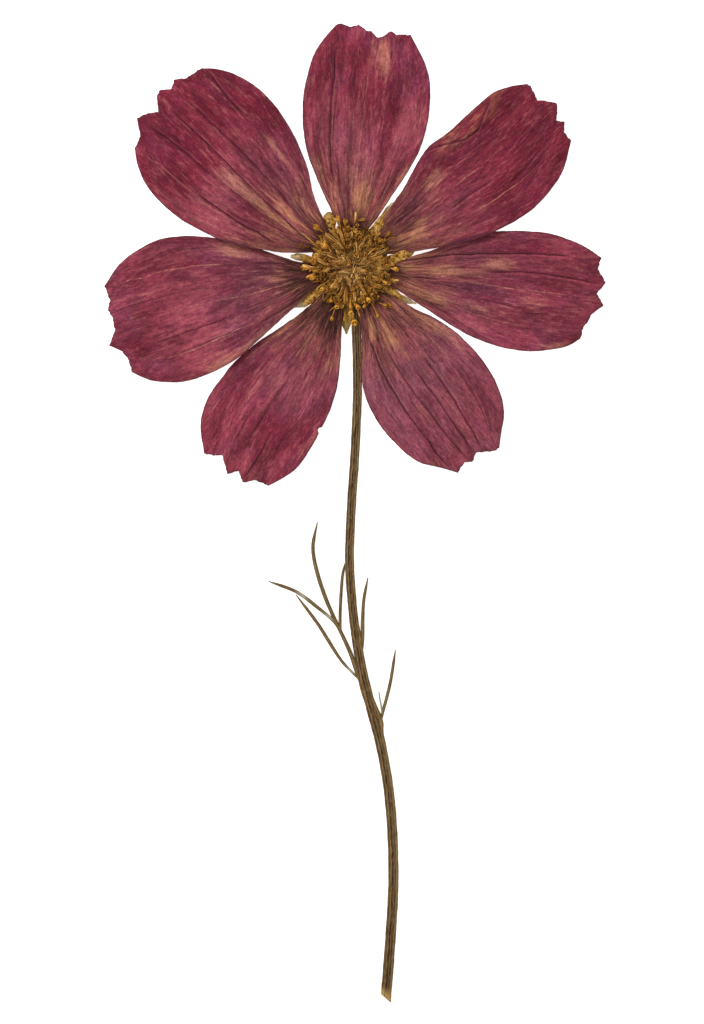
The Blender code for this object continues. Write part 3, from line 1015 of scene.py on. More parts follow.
    def shape(self, petal: RayPetal, across: Array, out: Array) -> Form:
        """Places every point of one petal, with its marks.

        Args:
            petal: The petal.
            across: Shares across from the left edge.
            out: Shares out from the foot.

        Returns:
            The petal's form.
        """
        plan = self.plan(petal, across, out)
        ahead, side = self.flat_frame(petal)
        ground = plan[:, :1] * ahead + plan[:, 1:] * side
        radius = np.hypot(plan[:, 0], plan[:, 1])
        none = np.zeros_like(out)
        width = (self.plan(petal, none, out) - self.plan(petal, none + 1, out))[:, 1]
        fold = self.fold(petal, across, out)
        fringe = np.minimum(np.minimum(across, 1 - across) * width, (1 - out) * self.reach * 0.8)
        height = self.height(petal, across, out, radius) + self.surface
        height = height + self.relief(petal, across, out, width) + self.fold_height * fold
        height = height - self.edge_droop * smooth(0.5, 0.0, fringe) * smooth(0.2, 0.4, out)
        marks = self.wear(petal, across, out, radius, fold)
        # The finish paints the creases and veins as dark lines of shade with a highlight beside them.
        creases = petal.creases + self.veins(petal)
        marks["crease_far"], marks["crease_power"] = self.nearest(creases, across, out, width)
        marks["gleam_far"], marks["gleam_power"] = self.nearest(petal.gleams, across, out, width)
        marks["rim"] = 0.7 * smooth(0.28, 0.02, fringe) * smooth(0.05, 0.2, out)
        # Painted shade where this petal covers another one.
        marks["painted_overlap_shade"] = none
        for other in self.petals:
            if other.name in petal.covers:
                marks["painted_overlap_shade"] = 0.72 * inside(ground, self.outline(other))
        flow = np.stack([self.fan(petal, plan, out), out * self.reach, none + 3.7 * petal.seed], axis=1)
        return Form(np.column_stack([ground, np.maximum(height, self.lowest)]), flow, marks)

    @staticmethod
    def fold(petal: RayPetal, across: Array, out: Array) -> Array:
        """Finds the strip along the left edge that is folded over, if the petal has one.

        Args:
            petal: The petal.
            across: Shares across from the left edge.
            out: Shares out from the foot.

        Returns:
            1 in the strip, 0 outside it.
        """
        if not petal.folded:
            return np.zeros_like(out)
        strip = smooth(0.185, 0.135, across) * smooth(0.50, 0.60, out + 0.5 * across)
        return strip * smooth(0.93, 0.83, out + 0.55 * across)

    def wear(
        self, petal: RayPetal, across: Array, out: Array, radius: Array, fold: Array
    ) -> dict[str, Array]:
        """Marks how the petal has faded and browned, and where its foot is dark: partly its own
        colour, partly painted shade next to the disc.

        Args:
            petal: The petal.
            across: Shares across from the left edge.
            out: Shares out from the foot.
            radius: Each point's distance from the middle of the flower, in millimetres.
            fold: How much each point belongs to the folded strip.

        Returns:
            The marks by name.
        """
        marks = {tone.value: self.total(petal.patches.get(tone, ()), across, out) for tone in Tone}
        marks["warm"] = np.maximum(petal.warm * smooth(22.0, 8.0, radius), 0.38 * fold)
        marks["mauve"] = np.full_like(out, petal.mauve)
        marks["rich"] = smooth(20.0, 30.0, radius)
        marks["deep"] = petal.deep * smooth(10.0, 27.0, radius)
        streaky = wander(petal.seed + 3, 6, 6.0, across * self.fan_width)
        foot = smooth(petal.foot_reach + 0.06, petal.foot_reach - 0.06, out + 0.04 * streaky)
        # The dark foot, and painted shade on every petal next to the disc.
        marks["foot"] = np.maximum(foot, 0.85 * smooth(7.7, 6.5, radius + 0.3 * streaky))
        return marks

    def fan(self, petal: RayPetal, plan: Array, out: Array) -> Array:
        """Places each point across the petal's veins, which spread from its foot and then run straight.

        Args:
            petal: The petal.
            plan: The points, along and across the petal.
            out: Their shares out from the foot.

        Returns:
            The place across the veins, about 10 each way from the middle.
        """
        rows = np.linspace(0, 1, 80)
        left = self.plan(petal, np.zeros(80), rows)
        right = self.plan(petal, np.ones(80), rows)
        width = np.maximum.accumulate(left[:, 1] - right[:, 1])
        middle = (left[:, 1] + right[:, 1]) / 2
        return (plan[:, 1] - np.interp(out, rows, middle)) / np.interp(out, rows, width) * self.fan_width

    @staticmethod
    def total(patches: tuple[Patch, ...], across: Array, out: Array) -> Array:
        """The summed weight of patches of one tone."""
        return sum((patch.weight(across, out) for patch in patches), np.zeros_like(out))

    @staticmethod
    def nearest(lines: tuple[Line, ...], across: Array, out: Array, width: Array) -> tuple[Array, Array]:
        """Finds the nearest line to each point.

        Args:
            lines: The lines.
            across: Share across each point.
            out: Share out of each point.
            width: The petal's width there, in millimetres.

        Returns:
            How far the line is to the left, as 0.5 plus half the millimetres, and how strong it is.
        """
        best = np.full_like(out, 1.0)
        power = np.zeros_like(out)
        for line in lines:
            fade, distance = line.profile(across, out, width)
            closer = (np.abs(distance) < np.abs(best)) & (fade > 0.01)
            best = np.where(closer, distance, best)
            power = np.where(closer, line.strength * fade * smooth(0.9, 0.5, np.abs(distance)), power)
        return 0.5 + best / 2, power

    def build(self, finish: PetalFinish) -> None:
        """Makes every petal as its own piece.

        Args:
            finish: The petals' finish.
        """
        material = finish.make()
        for petal in self.petals:
            mesh = grid_mesh(
                petal.name,
                self.cells_across,
                self.cells_along,
                lambda across, out, petal=petal: self.shape(petal, across, out),
                Wrap.OPEN,
            )
            obj = linked("look_" + petal.name, mesh)
            thickened(obj, self.thickness)
            dressed(obj, material, (petal.name,))


# ---------------- florets


class FloretKind(Enum):
    """The forms that a dried disc floret takes."""

    STRAP = "flattened to a narrow strap with a blunt tip"
    TUBE = "a small tube with a five-pointed mouth"
    CLUB = "a thin thread with a swollen, hollow head"
    THREAD = "a bare thread"
    BELL = "a large open floret with rounded lobes round its anthers"


@dataclass(frozen=True)
class FloretShape:
    """A floret of unit length and girth: its sides, and how wide it is at places along it.

    The profile from neck to 1 is the floret's head, which is head_girths times as long as it is wide.
    """

    sides: int
    flatten: float
    profile: tuple[Point, ...]
    cupped: bool = False
    lobes: float = 0.0
    neck: float = 0.5
    head_girths: float = 0.0


@dataclass(frozen=True)
class Lie:
    """How one floret lies: its root, heading, lean at root and head, length and girth, and its colouring."""

    root: tuple[float, float, float]
    heading: float
    lean_root: float
    lean_head: float
    length: float
    girth: float
    curl: float = 0.0
    roll: float = 0.0
    age: float = 0.0
    ripe: float = 0.0
    tint: float = 0.5

    def head_from(self, shape: FloretShape) -> float:
        """Works out where the head starts.

        Args:
            shape: The floret's form.

        Returns:
            The start as a share of the length.
        """
        if not shape.head_girths:
            return 0.5
        return max(0.2, 1 - shape.head_girths * self.girth / self.length)

    def directions(self, share: float, neck: float) -> tuple[Vector, Vector, Vector]:
        """The floret's own side, face and forward directions, a share of the way along it.

        Args:
            share: The share of its length.
            neck: Where its head starts, as a share too.

        Returns:
            The three directions.
        """
        bend = float(smooth(neck - 0.12, 0.5 + 0.5 * neck, np.array(share)))
        lean = self.lean_root + (self.lean_head - self.lean_root) * bend
        turn = self.heading + self.curl * share
        ahead = Vector((math.cos(turn) * math.sin(lean), math.sin(turn) * math.sin(lean), math.cos(lean)))
        side = Vector((-math.sin(turn), math.cos(turn), 0))
        face = ahead.cross(side)
        return side * math.cos(self.roll) + face * math.sin(self.roll), (
            face * math.cos(self.roll) - side * math.sin(self.roll)
        ), ahead


@dataclass(frozen=True)
class Stray:
    """A floret splayed out over the petals, given by where its head lies and how far in it is rooted."""

    kind: FloretKind
    head: Point
    length: float
    girth: float
    turn: float = 0.0
    curl: float = 0.0
    head_lean: float = 50.0
    ripe: float = 0.5
    tint: float = 0.6
    level: float = 2.2
    slope: float = 88.0

    def lie(self) -> Lie:
        """Works out the root from the head. The floret points outward, turned by turn degrees.

        Returns:
            How the floret lies.
        """
        heading = math.atan2(self.head[1], self.head[0]) + math.radians(self.turn)
        middle = heading + math.radians(self.curl) / 2
        reach = self.length * (0.80 + 0.20 * math.sin(math.radians(self.head_lean)))
        root = (self.head[0] - reach * math.cos(middle), self.head[1] - reach * math.sin(middle), self.level)
        return Lie(
            root, heading, math.radians(self.slope), math.radians(self.head_lean), self.length, self.girth,
            math.radians(self.curl), 0.0, 0.0, self.ripe, self.tint,
        )


@dataclass
class FloretHead:
    """The head of disc florets, laid over each other like thatch by the pressing."""

    seed: int = 5
    centre: Point = (0.3, 0.0)
    swirl: Point = (0.45, -0.6)
    crown: float = 3.3
    rim: float = 2.1
    radius: float = 6.2
    count: int = 680
    loose: int = 300
    core: tuple[float, float, float] = (4.9, 4.9, 0.85)
    core_height: float = 1.75
    golden_angle: float = math.pi * (3 - math.sqrt(5))
    spine_steps: int = 14
    shapes: dict[FloretKind, FloretShape] = field(default_factory=lambda: {
        FloretKind.STRAP: FloretShape(
            6, 0.28, ((0.0, 0.5), (0.25, 0.75), (0.55, 0.9), (0.8, 1.0), (0.94, 0.85), (1.0, 0.4))
        ),
        FloretKind.TUBE: FloretShape(
            5, 0.75, ((0.0, 0.4), (0.5, 0.5), (0.75, 0.85), (0.9, 1.1), (1.0, 1.3)), True, 0.0, 0.5, 3.2
        ),
        FloretKind.CLUB: FloretShape(
            6, 0.85, ((0.0, 0.28), (0.5, 0.26), (0.66, 0.75), (0.82, 1.1), (0.94, 1.15), (1.0, 0.95)), True,
            0.0, 0.5, 3.0,
        ),
        FloretKind.THREAD: FloretShape(
            4, 0.8, ((0.0, 0.5), (0.35, 0.45), (0.7, 0.4), (0.9, 0.35), (1.0, 0.15))
        ),
        FloretKind.BELL: FloretShape(
            10, 0.85, ((0.0, 0.35), (0.45, 0.38), (0.6, 0.8), (0.78, 1.15), (0.92, 1.3), (1.0, 1.2)), True,
            0.16, 0.45, 3.4,
        ),
    })
    girths: dict[FloretKind, float] = field(default_factory=lambda: {
        FloretKind.STRAP: 0.27, FloretKind.TUBE: 0.25, FloretKind.CLUB: 0.27, FloretKind.THREAD: 0.15,
        FloretKind.BELL: 0.36,
    })

    def prototype(self, kind: FloretKind) -> Mesh:
        """Makes one floret of unit length and girth along +Z.

        Args:
            kind: Its form.

        Returns:
            A closed mesh of a few dozen faces.
        """
        shape = self.shapes[kind]
        bm = bmesh.new()
        hollow = bm.verts.layers.float.new("hollow")
        ring = bmesh.ops.create_circle(bm, cap_ends=False, segments=shape.sides, radius=1.0)["verts"]
        first = list(ring)
        for k, (height, swell) in enumerate(shape.profile):
            ring = self.grown(bm, ring) if k else ring
            for vert in ring:
                turn = math.atan2(vert.co.y, vert.co.x)
                reach = swell * (1 + shape.lobes * math.cos(5 * turn) * (height > 0.75))
                vert.co = (reach * math.cos(turn), reach * math.sin(turn), height)
        # A cupped floret's mouth is sunk; its hollow mark places painted shade inside.
        if shape.cupped:
            rim = [vert.co.copy() for vert in ring]
            for depth, narrow in ((0.98, 0.66), (0.86, 0.50)):
                ring = self.grown(bm, ring)
                for vert, place in zip(ring, rim):
                    vert.co = (place.x * narrow, place.y * narrow, depth)
                    vert[hollow] = 1.0 if depth < 0.9 else 0.35
        bmesh.ops.contextual_create(bm, geom=ring)
        bmesh.ops.contextual_create(bm, geom=first)
        if kind is FloretKind.BELL:
            place = Matrix.Translation((0, 0, 0.98))
            bmesh.ops.create_cone(
                bm, cap_ends=True, segments=6, radius1=0.34, radius2=0.24, depth=0.36, matrix=place
            )
        bmesh.ops.scale(bm, vec=(1.0, shape.flatten, 1.0), verts=bm.verts[:])
        bmesh.ops.recalc_face_normals(bm, faces=bm.faces[:])
        return baked(kind.name, bm)

    @staticmethod
    def grown(bm: bmesh.types.BMesh, ring: list[bmesh.types.BMVert]) -> list[bmesh.types.BMVert]:
        """Extrudes an open ring.

        Args:
            bm: The mesh so far.
            ring: The ring's vertices.

        Returns:
            The new ring, in the same order round the axis.
        """
        edges = [edge for edge in bm.edges if edge.is_boundary and all(vert in ring for vert in edge.verts)]
        if not edges:
            edges = [edge for edge in bm.edges if all(vert in ring for vert in edge.verts)]
        made = bmesh.ops.extrude_edge_only(bm, edges=edges)["geom"]
        fresh = [item for item in made if isinstance(item, bmesh.types.BMVert)]

        def order(vert: bmesh.types.BMVert) -> int:
            """The number of the nearest vertex in the old ring."""
            return min(range(len(ring)), key=lambda k: (ring[k].co - vert.co).length)

        return sorted(fresh, key=order)

    def lay(self, bm: bmesh.types.BMesh, mesh: Mesh, kind: FloretKind, lie: Lie) -> None:
        """Copies a floret into the head, bent as it lies.

        Args:
            bm: The head so far.
            mesh: The floret's prototype.
            kind: Its form.
            lie: How it lies.
        """
        layers = bm.verts.layers
        before = len(bm.verts)
        bm.from_mesh(mesh)
        bm.verts.ensure_lookup_table()
        shape = self.shapes[kind]
        neck = lie.head_from(shape)
        steps = self.spine_steps
        spine = [Vector(lie.root)]
        for k in range(steps + 6):
            spine.append(spine[-1] + lie.directions((k + 0.5) / steps, neck)[2] * lie.length / steps)
        for vert in bm.verts[before:]:
            x, y, z = vert.co
            z = max(z, 0.0)
            if shape.head_girths:
                beyond = (z - shape.neck) / (1 - shape.neck)
                z = neck + beyond * (1 - neck) if beyond > 0 else z / shape.neck * neck
            place = z * steps
            k = int(place)
            side, face, _ = lie.directions(z, neck)
            ragged = 1 + 0.18 * math.sin(3 * math.atan2(y, x) + 9 * lie.root[0] + 5 * z)
            vert.co = spine[k].lerp(spine[k + 1], place - k) + (side * x + face * y) * lie.girth * ragged
            vert[layers.float["along"]] = min(z, 1.0)
            # side: across the floret, for painted shade down its middle and painted highlights at its edges.
            vert[layers.float["side"]] = 0.68 if shape.cupped else 0.5 + 0.5 * max(-1.0, min(x, 1.0))
            vert[layers.float["age"]] = lie.age
            vert[layers.float["ripe"]] = lie.ripe * float(smooth(neck, 0.5 + 0.5 * neck, np.array(z)))
            vert[layers.float["tint"]] = lie.tint
            seed = lie.root[0] * 3.1 + lie.root[1]
            vert[layers.float_vector["flow"]] = (x * lie.girth, z * lie.length, seed)

    def kind_for(self, share: float, draw: float) -> FloretKind:
        """Chooses a floret's form by how far out it grows.

        Args:
            share: How far out it grows, as a share of the head's radius.
            draw: A random draw from 0 to 1.

        Returns:
            The form.
        """
        if share < 0.30:
            return FloretKind.THREAD if draw < 0.55 else FloretKind.STRAP
        if share < 0.78:
            return FloretKind.STRAP if draw < 0.80 else FloretKind.THREAD if draw < 0.92 else FloretKind.TUBE
        if draw < 0.62:
            return FloretKind.STRAP
        return FloretKind.TUBE if draw < 0.86 else FloretKind.CLUB if draw < 0.93 else FloretKind.BELL

    def thatch(self) -> list[tuple[FloretKind, Lie]]:
        """Lays the florets of the head in a golden-angle spiral, each pointing outward over the next.

        Returns:
            Each floret's form and how it lies.
        """
        rng = random.Random(self.seed)
        laid = []
        for k in range(self.count):
            share = math.sqrt((k + 0.5) / self.count)
            angle = k * self.golden_angle + rng.uniform(-0.2, 0.2)
            kind = self.kind_for(share, rng.random())
            flat = kind in (FloretKind.STRAP, FloretKind.THREAD)
            long = rng.random() < 0.22
            length = (2.0 + 1.3 * share) * rng.uniform(0.75, 1.3)
            length = length * (1.0 if flat else 0.75) * (1.35 if long else 1)
            reach = self.radius * share * rng.uniform(0.90, 1.10) - 0.8 * length
            height = self.crown + (self.rim - self.crown) * share**1.6 + rng.uniform(-0.22, 0.22)
            inward = 1 - share
            root = (
                self.centre[0] + self.swirl[0] * inward + reach * math.cos(angle),
                self.centre[1] + self.swirl[1] * inward + reach * math.sin(angle),
                height - 0.16 * length,
            )
            head_lean = 92 + rng.uniform(-10, 8) if flat else rng.uniform(15, 75)
            laid.append((kind, Lie(
                root,
                angle + rng.gauss(0, 0.24 + 0.45 * inward) + 0.5 * inward**2,
                math.radians(76 + 8 * share + rng.uniform(-7, 7)),
                math.radians(head_lean),
                length,
                self.girths[kind] * rng.uniform(0.7, 1.2 + 0.2 * share) * (1.5 if long and flat else 1),
                curl=rng.gauss(0, 0.35),
                roll=rng.gauss(0, 0.6) if flat else 0.0,
                age=float(smooth(0.70, 0.10, np.array(share + rng.uniform(-0.12, 0.12)))),
                ripe=rng.uniform(0.0, 0.8) * float(smooth(0.4, 0.9, np.array(share))),
                tint=0.56 - 0.16 * share**2 + (rng.random() - 0.5) * (0.46 + 0.60 * share),
            )))
        return laid

    def tangle(self) -> list[tuple[FloretKind, Lie]]:
        """Strews thin pale threads and small curled tips over the head, pointing every way.

        Returns:
            Each one's form and how it lies.
        """
        rng = random.Random(self.seed + 1)
        laid = []
        for _ in range(self.loose):
            share = math.sqrt(rng.uniform(0.0, 0.95))
            angle = rng.uniform(0, 2 * math.pi)
            kind = FloretKind.THREAD if rng.random() < 0.72 else FloretKind.TUBE
            height = self.crown + (self.rim - self.crown) * share**1.6 + rng.uniform(0.0, 0.22)
            reach = 0.88 * self.radius * share
            x, y = reach * math.cos(angle), reach * math.sin(angle)
            root = (self.centre[0] + x, self.centre[1] + y, height)
            laid.append((kind, Lie(
                root,
                angle + rng.gauss(0, 1.1),
                math.radians(rng.uniform(80, 92)),
                math.radians(rng.uniform(82, 100) if kind is FloretKind.THREAD else rng.uniform(20, 80)),
                rng.uniform(1.0, 2.4) if kind is FloretKind.THREAD else rng.uniform(0.6, 1.2),
                self.girths[kind] * rng.uniform(0.45, 0.85),
                curl=rng.gauss(0, 1.2),
                age=float(smooth(0.75, 0.2, np.array(share))),
                ripe=rng.uniform(0.2, 0.9),
                tint=rng.uniform(0.35, 1.0),
            )))
        return laid

    def build(self, finish: FloretFinish, strays: tuple[Stray, ...]) -> None:
        """Makes the whole head as one piece, with its low core.

        Args:
            finish: The florets' finish.
            strays: The florets that lie out on the petals.
        """
        prototypes = {kind: self.prototype(kind) for kind in FloretKind}
        bm = bmesh.new()
        for name in ("along", "side", "age", "ripe", "tint", "hollow"):
            bm.verts.layers.float.new(name)
        bm.verts.layers.float_vector.new("flow")
        core = bmesh.ops.create_icosphere(bm, subdivisions=4, radius=1.0)["verts"]
        bmesh.ops.scale(bm, vec=self.core, verts=core)
        bmesh.ops.translate(bm, vec=(*self.centre, self.core_height), verts=core)
        for kind, lie in self.thatch() + self.tangle():
            self.lay(bm, prototypes[kind], kind, lie)
        for stray in strays:
            self.lay(bm, prototypes[stray.kind], stray.kind, stray.lie())
        bmesh.ops.scale(bm, vec=(MM, MM, MM), verts=bm.verts[:])
        dressed(linked("look_disc_florets", baked("florets", bm)), finish.make(), ("disc_florets",))


# ---------------- bracts


@dataclass(frozen=True)
class Bract:
    """One bract: its middle line from under the head to its tip, and (share, half width) places along it."""

    route: tuple[Point, ...]
    widths: tuple[Point, ...]
    papery: float = 0.3
    gold: float = 0.5
    lift: float = 0.72


@dataclass
class Involucre:
    """The cup of bracts under the head."""

    bracts: tuple[Bract, ...]
    cup_radius: float = 6.3
    cup_top: float = 0.9
    surface: float = 0.42
    thickness: float = 0.16

    def shape(self, bract: Bract, order: int, across: Array, out: Array) -> Form:
        """Places every point of one bract: a keeled blade that narrows to its tip.

        Args:
            bract: The bract.
            order: Its number round the cup.
            across: Shares across from its right edge.
            out: Shares out from its root.

        Returns:
            The bract's form.
        """
        middle = curve(bract.route, out)
        _, side = course(bract.route, out, 0.01)
        half = np.zeros_like(out)
        for (low, before), (high, after) in zip(bract.widths, bract.widths[1:]):
            step = before + (after - before) * smooth(low, high, out)
            half = np.where((out >= low) & (out <= high), step, half)
        lateral = 2 * across - 1
        uneven = 1 + 0.10 * wander(80 + order, 3, 0.35, out + 0.2 * np.sign(lateral))
        plan = middle + side * (lateral * half * uneven)[:, None]
        keel = 0.14 * (1 - np.abs(lateral)) - 0.06 * np.cos(lateral * 9) ** 2
        curled = 0.12 * wander(90 + order, 3, 0.8, out)
        height = self.surface - 0.12 + keel * np.clip(half / 0.5, 0, 1) + curled * smooth(0.4, 0.9, out)
        height = height + bract.lift * smooth(12.0, 8.5, np.hypot(plan[:, 0], plan[:, 1]))
        lumps = 0.10 * wander(95 + order, 4, 2.2, out * 9)
        lumps = lumps * wander(97 + order, 3, 1.1, lateral * half + out * 4)
        height = height + lumps * bract.gold
        marks = {
            "papery": bract.papery * smooth(0.70, 0.88, out) * (0.7 + 0.3 * np.abs(lateral)),
            "groove": 0.5 * smooth(0.45, 0.15, out),
            "gold": bract.gold * smooth(1.05, 0.72, out),
        }
        flow = np.stack([lateral * half, out * 9, 0 * out + 1.7 * order], axis=1)
        return Form(np.column_stack([plan, np.maximum(height, 0.18)]), flow, marks)

    def build(self, finish: BractFinish) -> None:
        """Makes the bracts and the cup that they grow from, as one piece.

        Args:
            finish: The bracts' finish.
        """
        bm = bmesh.new()
        for order, bract in enumerate(self.bracts):
            mesh = grid_mesh(
                f"bract_{order}", 16, 60,
                lambda across, out, bract=bract, order=order: self.shape(bract, order, across, out),
                Wrap.OPEN,
            )
            obj = linked(f"bract_{order}", mesh)
            thickened(obj, self.thickness)
            bm.from_mesh(obj.data)
            bpy.data.objects.remove(obj)
        foot = 0.5 * self.cup_radius * MM
        ring = bmesh.ops.create_circle(bm, cap_ends=True, segments=64, radius=foot)["verts"]
        for reach, height in ((1.0, 0.03), (1.0, 0.3), (0.98, self.cup_top), (0.5, self.cup_top + 0.1)):
            ring = FloretHead.grown(bm, ring)
            for vert in ring:
                flat = Vector((vert.co.x, vert.co.y)).normalized() * reach * self.cup_radius * MM
                vert.co = (flat.x, flat.y, height * MM)
        bmesh.ops.contextual_create(bm, geom=ring)
        bmesh.ops.recalc_face_normals(bm, faces=bm.faces[:])
        dressed(linked("look_involucre", baked("involucre", bm)), finish.make(), ("involucre",))


# ---------------- stem and leaves


@dataclass(frozen=True)
class Furrow:
    """A groove along a stalk, or a rib where its depth is below 0, at a place across it."""

    place: float
    width: float
    depth: float
    waver: float = 0.07

    def weight(self, seed: int, across: Array, run: Array) -> Array:
        """Gives how much of the furrow each point has.

        Args:
            seed: Starts the furrow's wavering.
            across: Places across the stalk, -1 to 1.
            run: Millimetres along it.

        Returns:
            Weights from 0 to 1.
        """
        middle = self.place + self.waver * wander(seed, 4, 9.0, run)
        strength = np.clip(0.72 + 0.45 * wander(seed + 1, 4, 4.0, run), 0, 1)
        return np.exp(-(((across - middle) / self.width) ** 2)) * strength


@dataclass(frozen=True)
class Swelling:
    """A place in millimetres along a stem where a leaf grows out, and how far the stem bulges there."""

    place: float
    above: float
    below: float
    reach: float

    def weight(self, run: Array) -> Array:
        """Gives how near each point is to the swelling, from 0 to 1."""
        before = smooth(self.place - self.above, self.place, run)
        return before * smooth(self.place + self.below, self.place, run)


@dataclass(frozen=True)
class Stalk:
    """A long piece swept along a route that lies on the surface."""

    name: str
    route: tuple[Point, ...]
    widths: tuple[Point, ...]
    furrows: tuple[Furrow, ...]
    thickness: float
    cells: tuple[int, int]
    seed: int
    fullness: float = 0.45
    swellings: tuple[Swelling, ...] = ()
    slant: float = 0.0
    ripe: Point = (0.0, 0.0)
    dark_end: float = 0.2
    bleached: tuple[Point, ...] = ()

    def shape(self, around: Array, along: Array) -> Form:
        """Places every point of the stalk.

        Args:
            around: Shares round the section, from its right side over the top.
            along: Shares along the route.

        Returns:
            Its form.
        """
        turn = 2 * np.pi * around
        across = np.sign(np.cos(turn)) * np.abs(np.cos(turn)) ** 0.85
        tall = np.abs(np.sin(turn))
        upper = np.sin(turn) > 0
        rise = np.where(upper, 0.35 + 0.65 * tall**self.fullness, 0.35 * (1 - tall**0.3))
        run = along * sum(math.dist(a, b) for a, b in zip(self.route, self.route[1:]))
        middle = curve(self.route, along)
        ahead, side = course(self.route, along, 0.004)
        half = np.interp(along, [w[0] for w in self.widths], [w[1] for w in self.widths]) / 2
        half = half * (1 + 0.035 * wander(self.seed, 4, 5.0, run + 2 * np.sign(across)))
        shift = half * across
        warm = self.ripe[1] + (self.ripe[0] - self.ripe[1]) * smooth(0.9, -0.1, across)
        warm = warm * (0.4 + 0.6 * smooth(0.15, 0.60, along)) + self.ripe[0] * smooth(0.6, 0.9, along)
        for swelling in self.swellings:
            near = swelling.weight(run)
            shift = shift + near * swelling.reach * smooth(-0.3, 1.0, across * np.sign(swelling.reach))
            warm = warm + 0.7 * near * smooth(0.0, 0.9, across * np.sign(swelling.reach))
        end = self.slant * across * half * smooth(0.97, 1.0, along)
        plan = middle + side * shift[:, None] + ahead * end[:, None]
        deep = np.zeros_like(along)
        proud = np.zeros_like(along)
        for order, furrow in enumerate(self.furrows):
            weight = furrow.weight(self.seed + 10 + 2 * order, across, run) * upper
            deep += weight * max(furrow.depth, 0.0)
            proud += weight * max(-furrow.depth, 0.0)
        rough = 0.03 * wander(self.seed + 4, 4, 2.0, run + 3 * across)
        slim = np.clip(half / max(w[1] / 2 for w in self.widths), 0.45, 1)
        height = self.thickness * rise * (0.75 + 0.25 * slim) + upper * (rough + proud - deep)
        bleached = sum((np.exp(-(((run - place) / reach) ** 2)) for place, reach in self.bleached), 0 * run)
        fringe = smooth(0.984, 0.995, along + 0.004 * wander(self.seed + 6, 3, 0.9, 4 * across))
        marks = {
            # groove: painted shade in the furrows, and darker towards the end.
            "groove": deep / 0.16 + self.dark_end * smooth(0.80, 0.95, along),
            # rib: painted highlight on the raised ribs.
            "rib": proud / 0.06,
            "warm": warm,
            "cut": 0.9 * fringe * (self.slant > 0),
            "bleached": 0.75 * bleached,
        }
        flow = np.stack([shift, run, 0 * along + self.seed], axis=1)
        return Form(np.column_stack([plan, np.maximum(height, 0.02)]), flow, marks)

    def mesh(self) -> Mesh:
        """Makes the stalk's closed mesh."""
        return grid_mesh(self.name, self.cells[0], self.cells[1], self.shape, Wrap.TUBE)


@dataclass
class Foliage:
    """The stem with the small leaves at its nodes."""

    stem: Stalk
    leaves: dict[str, tuple[Stalk, ...]]

    def build(self, stem_finish: StalkFinish, leaf_finish: StalkFinish) -> None:
        """Makes the stem, and one piece for each leaf.

        Args:
            stem_finish: The stem's finish.
            leaf_finish: The leaves' finish.
        """
        dressed(linked("look_stem", self.stem.mesh()), stem_finish.make(), ("stem",))
        material = leaf_finish.make()
        for name, segments in self.leaves.items():
            bm = bmesh.new()
            for segment in segments:
                bm.from_mesh(segment.mesh())
            dressed(linked("look_" + name, baked(name, bm)), material, (name,))


# ---------------- studio


@dataclass
class Studio:
    """A bright white table, soft light from all round and from the upper left, and a camera above.

    The view's height and aim, the clearance and the table's drop are in millimetres, the rest in metres.
    """

    view_height: float = 163.84
    aim: Point = (0.40, -39.28)
    lens: float = 200.0
    sensor: float = 36.0
    sky: float = 0.62
    key_power: float = 5.4
    glow: float = 0.78
    clearance: float = 0.6
    table_half: float = 1.5
    table_drop: float = 0.02
    lamp_size: float = 0.35
    lamp_place: tuple[float, float, float] = (-0.55, 0.45, 0.62)
    lamp_aim: tuple[float, float, float] = (0.0, -0.02, 0.0)

    def build(self) -> None:
        """Sets the floor, the light, the camera and the view."""
        scene = bpy.context.scene
        scene.view_settings.view_transform = "Standard"
        scene.world = bpy.data.worlds.new("studio")
        scene.world.use_nodes = True
        background = scene.world.node_tree.nodes["Background"]
        background.inputs["Color"].default_value = (1.0, 1.0, 1.0, 1.0)
        background.inputs["Strength"].default_value = self.sky
        self.floor()
        self.key()
        data = bpy.data.cameras.new("camera")
        data.lens = self.lens
        data.sensor_width = self.sensor
        data.clip_end = 10.0
        camera = bpy.data.objects.new("camera", data)
        distance = self.view_height * self.lens / self.sensor
        camera.location = (self.aim[0] * MM, self.aim[1] * MM, (distance + self.clearance) * MM)
        scene.collection.objects.link(camera)
        scene.camera = camera

    def floor(self) -> None:
        """Lays a white table just under the flower."""
        bm = bmesh.new()
        bmesh.ops.create_grid(bm, x_segments=1, y_segments=1, size=self.table_half)
        bmesh.ops.translate(bm, vec=(0, 0, -self.table_drop * MM), verts=bm.verts[:])
        table = linked("table", baked("table", bm))
        paint = Painter("white_table")
        paint.surface.inputs["Base Color"].default_value = (0.9, 0.9, 0.9, 1.0)
        paint.surface.inputs["Roughness"].default_value = 0.9
        paint.surface.inputs["Specular IOR Level"].default_value = 0.0
        paint.surface.inputs["Emission Color"].default_value = (1.0, 1.0, 1.0, 1.0)
        paint.surface.inputs["Emission Strength"].default_value = self.glow
        table.data.materials.append(paint.material)

    def key(self) -> None:
        """Hangs a soft lamp to the upper left."""
        lamp = bpy.data.lights.new("key", "AREA")
        lamp.energy = self.key_power
        lamp.size = self.lamp_size
        obj = bpy.data.objects.new("key", lamp)
        obj.location = self.lamp_place
        aim = Vector(self.lamp_aim) - obj.location
        obj.rotation_euler = aim.to_track_quat("-Z", "Y").to_euler()
        bpy.context.scene.collection.objects.link(obj)


# ---------------- the flower itself


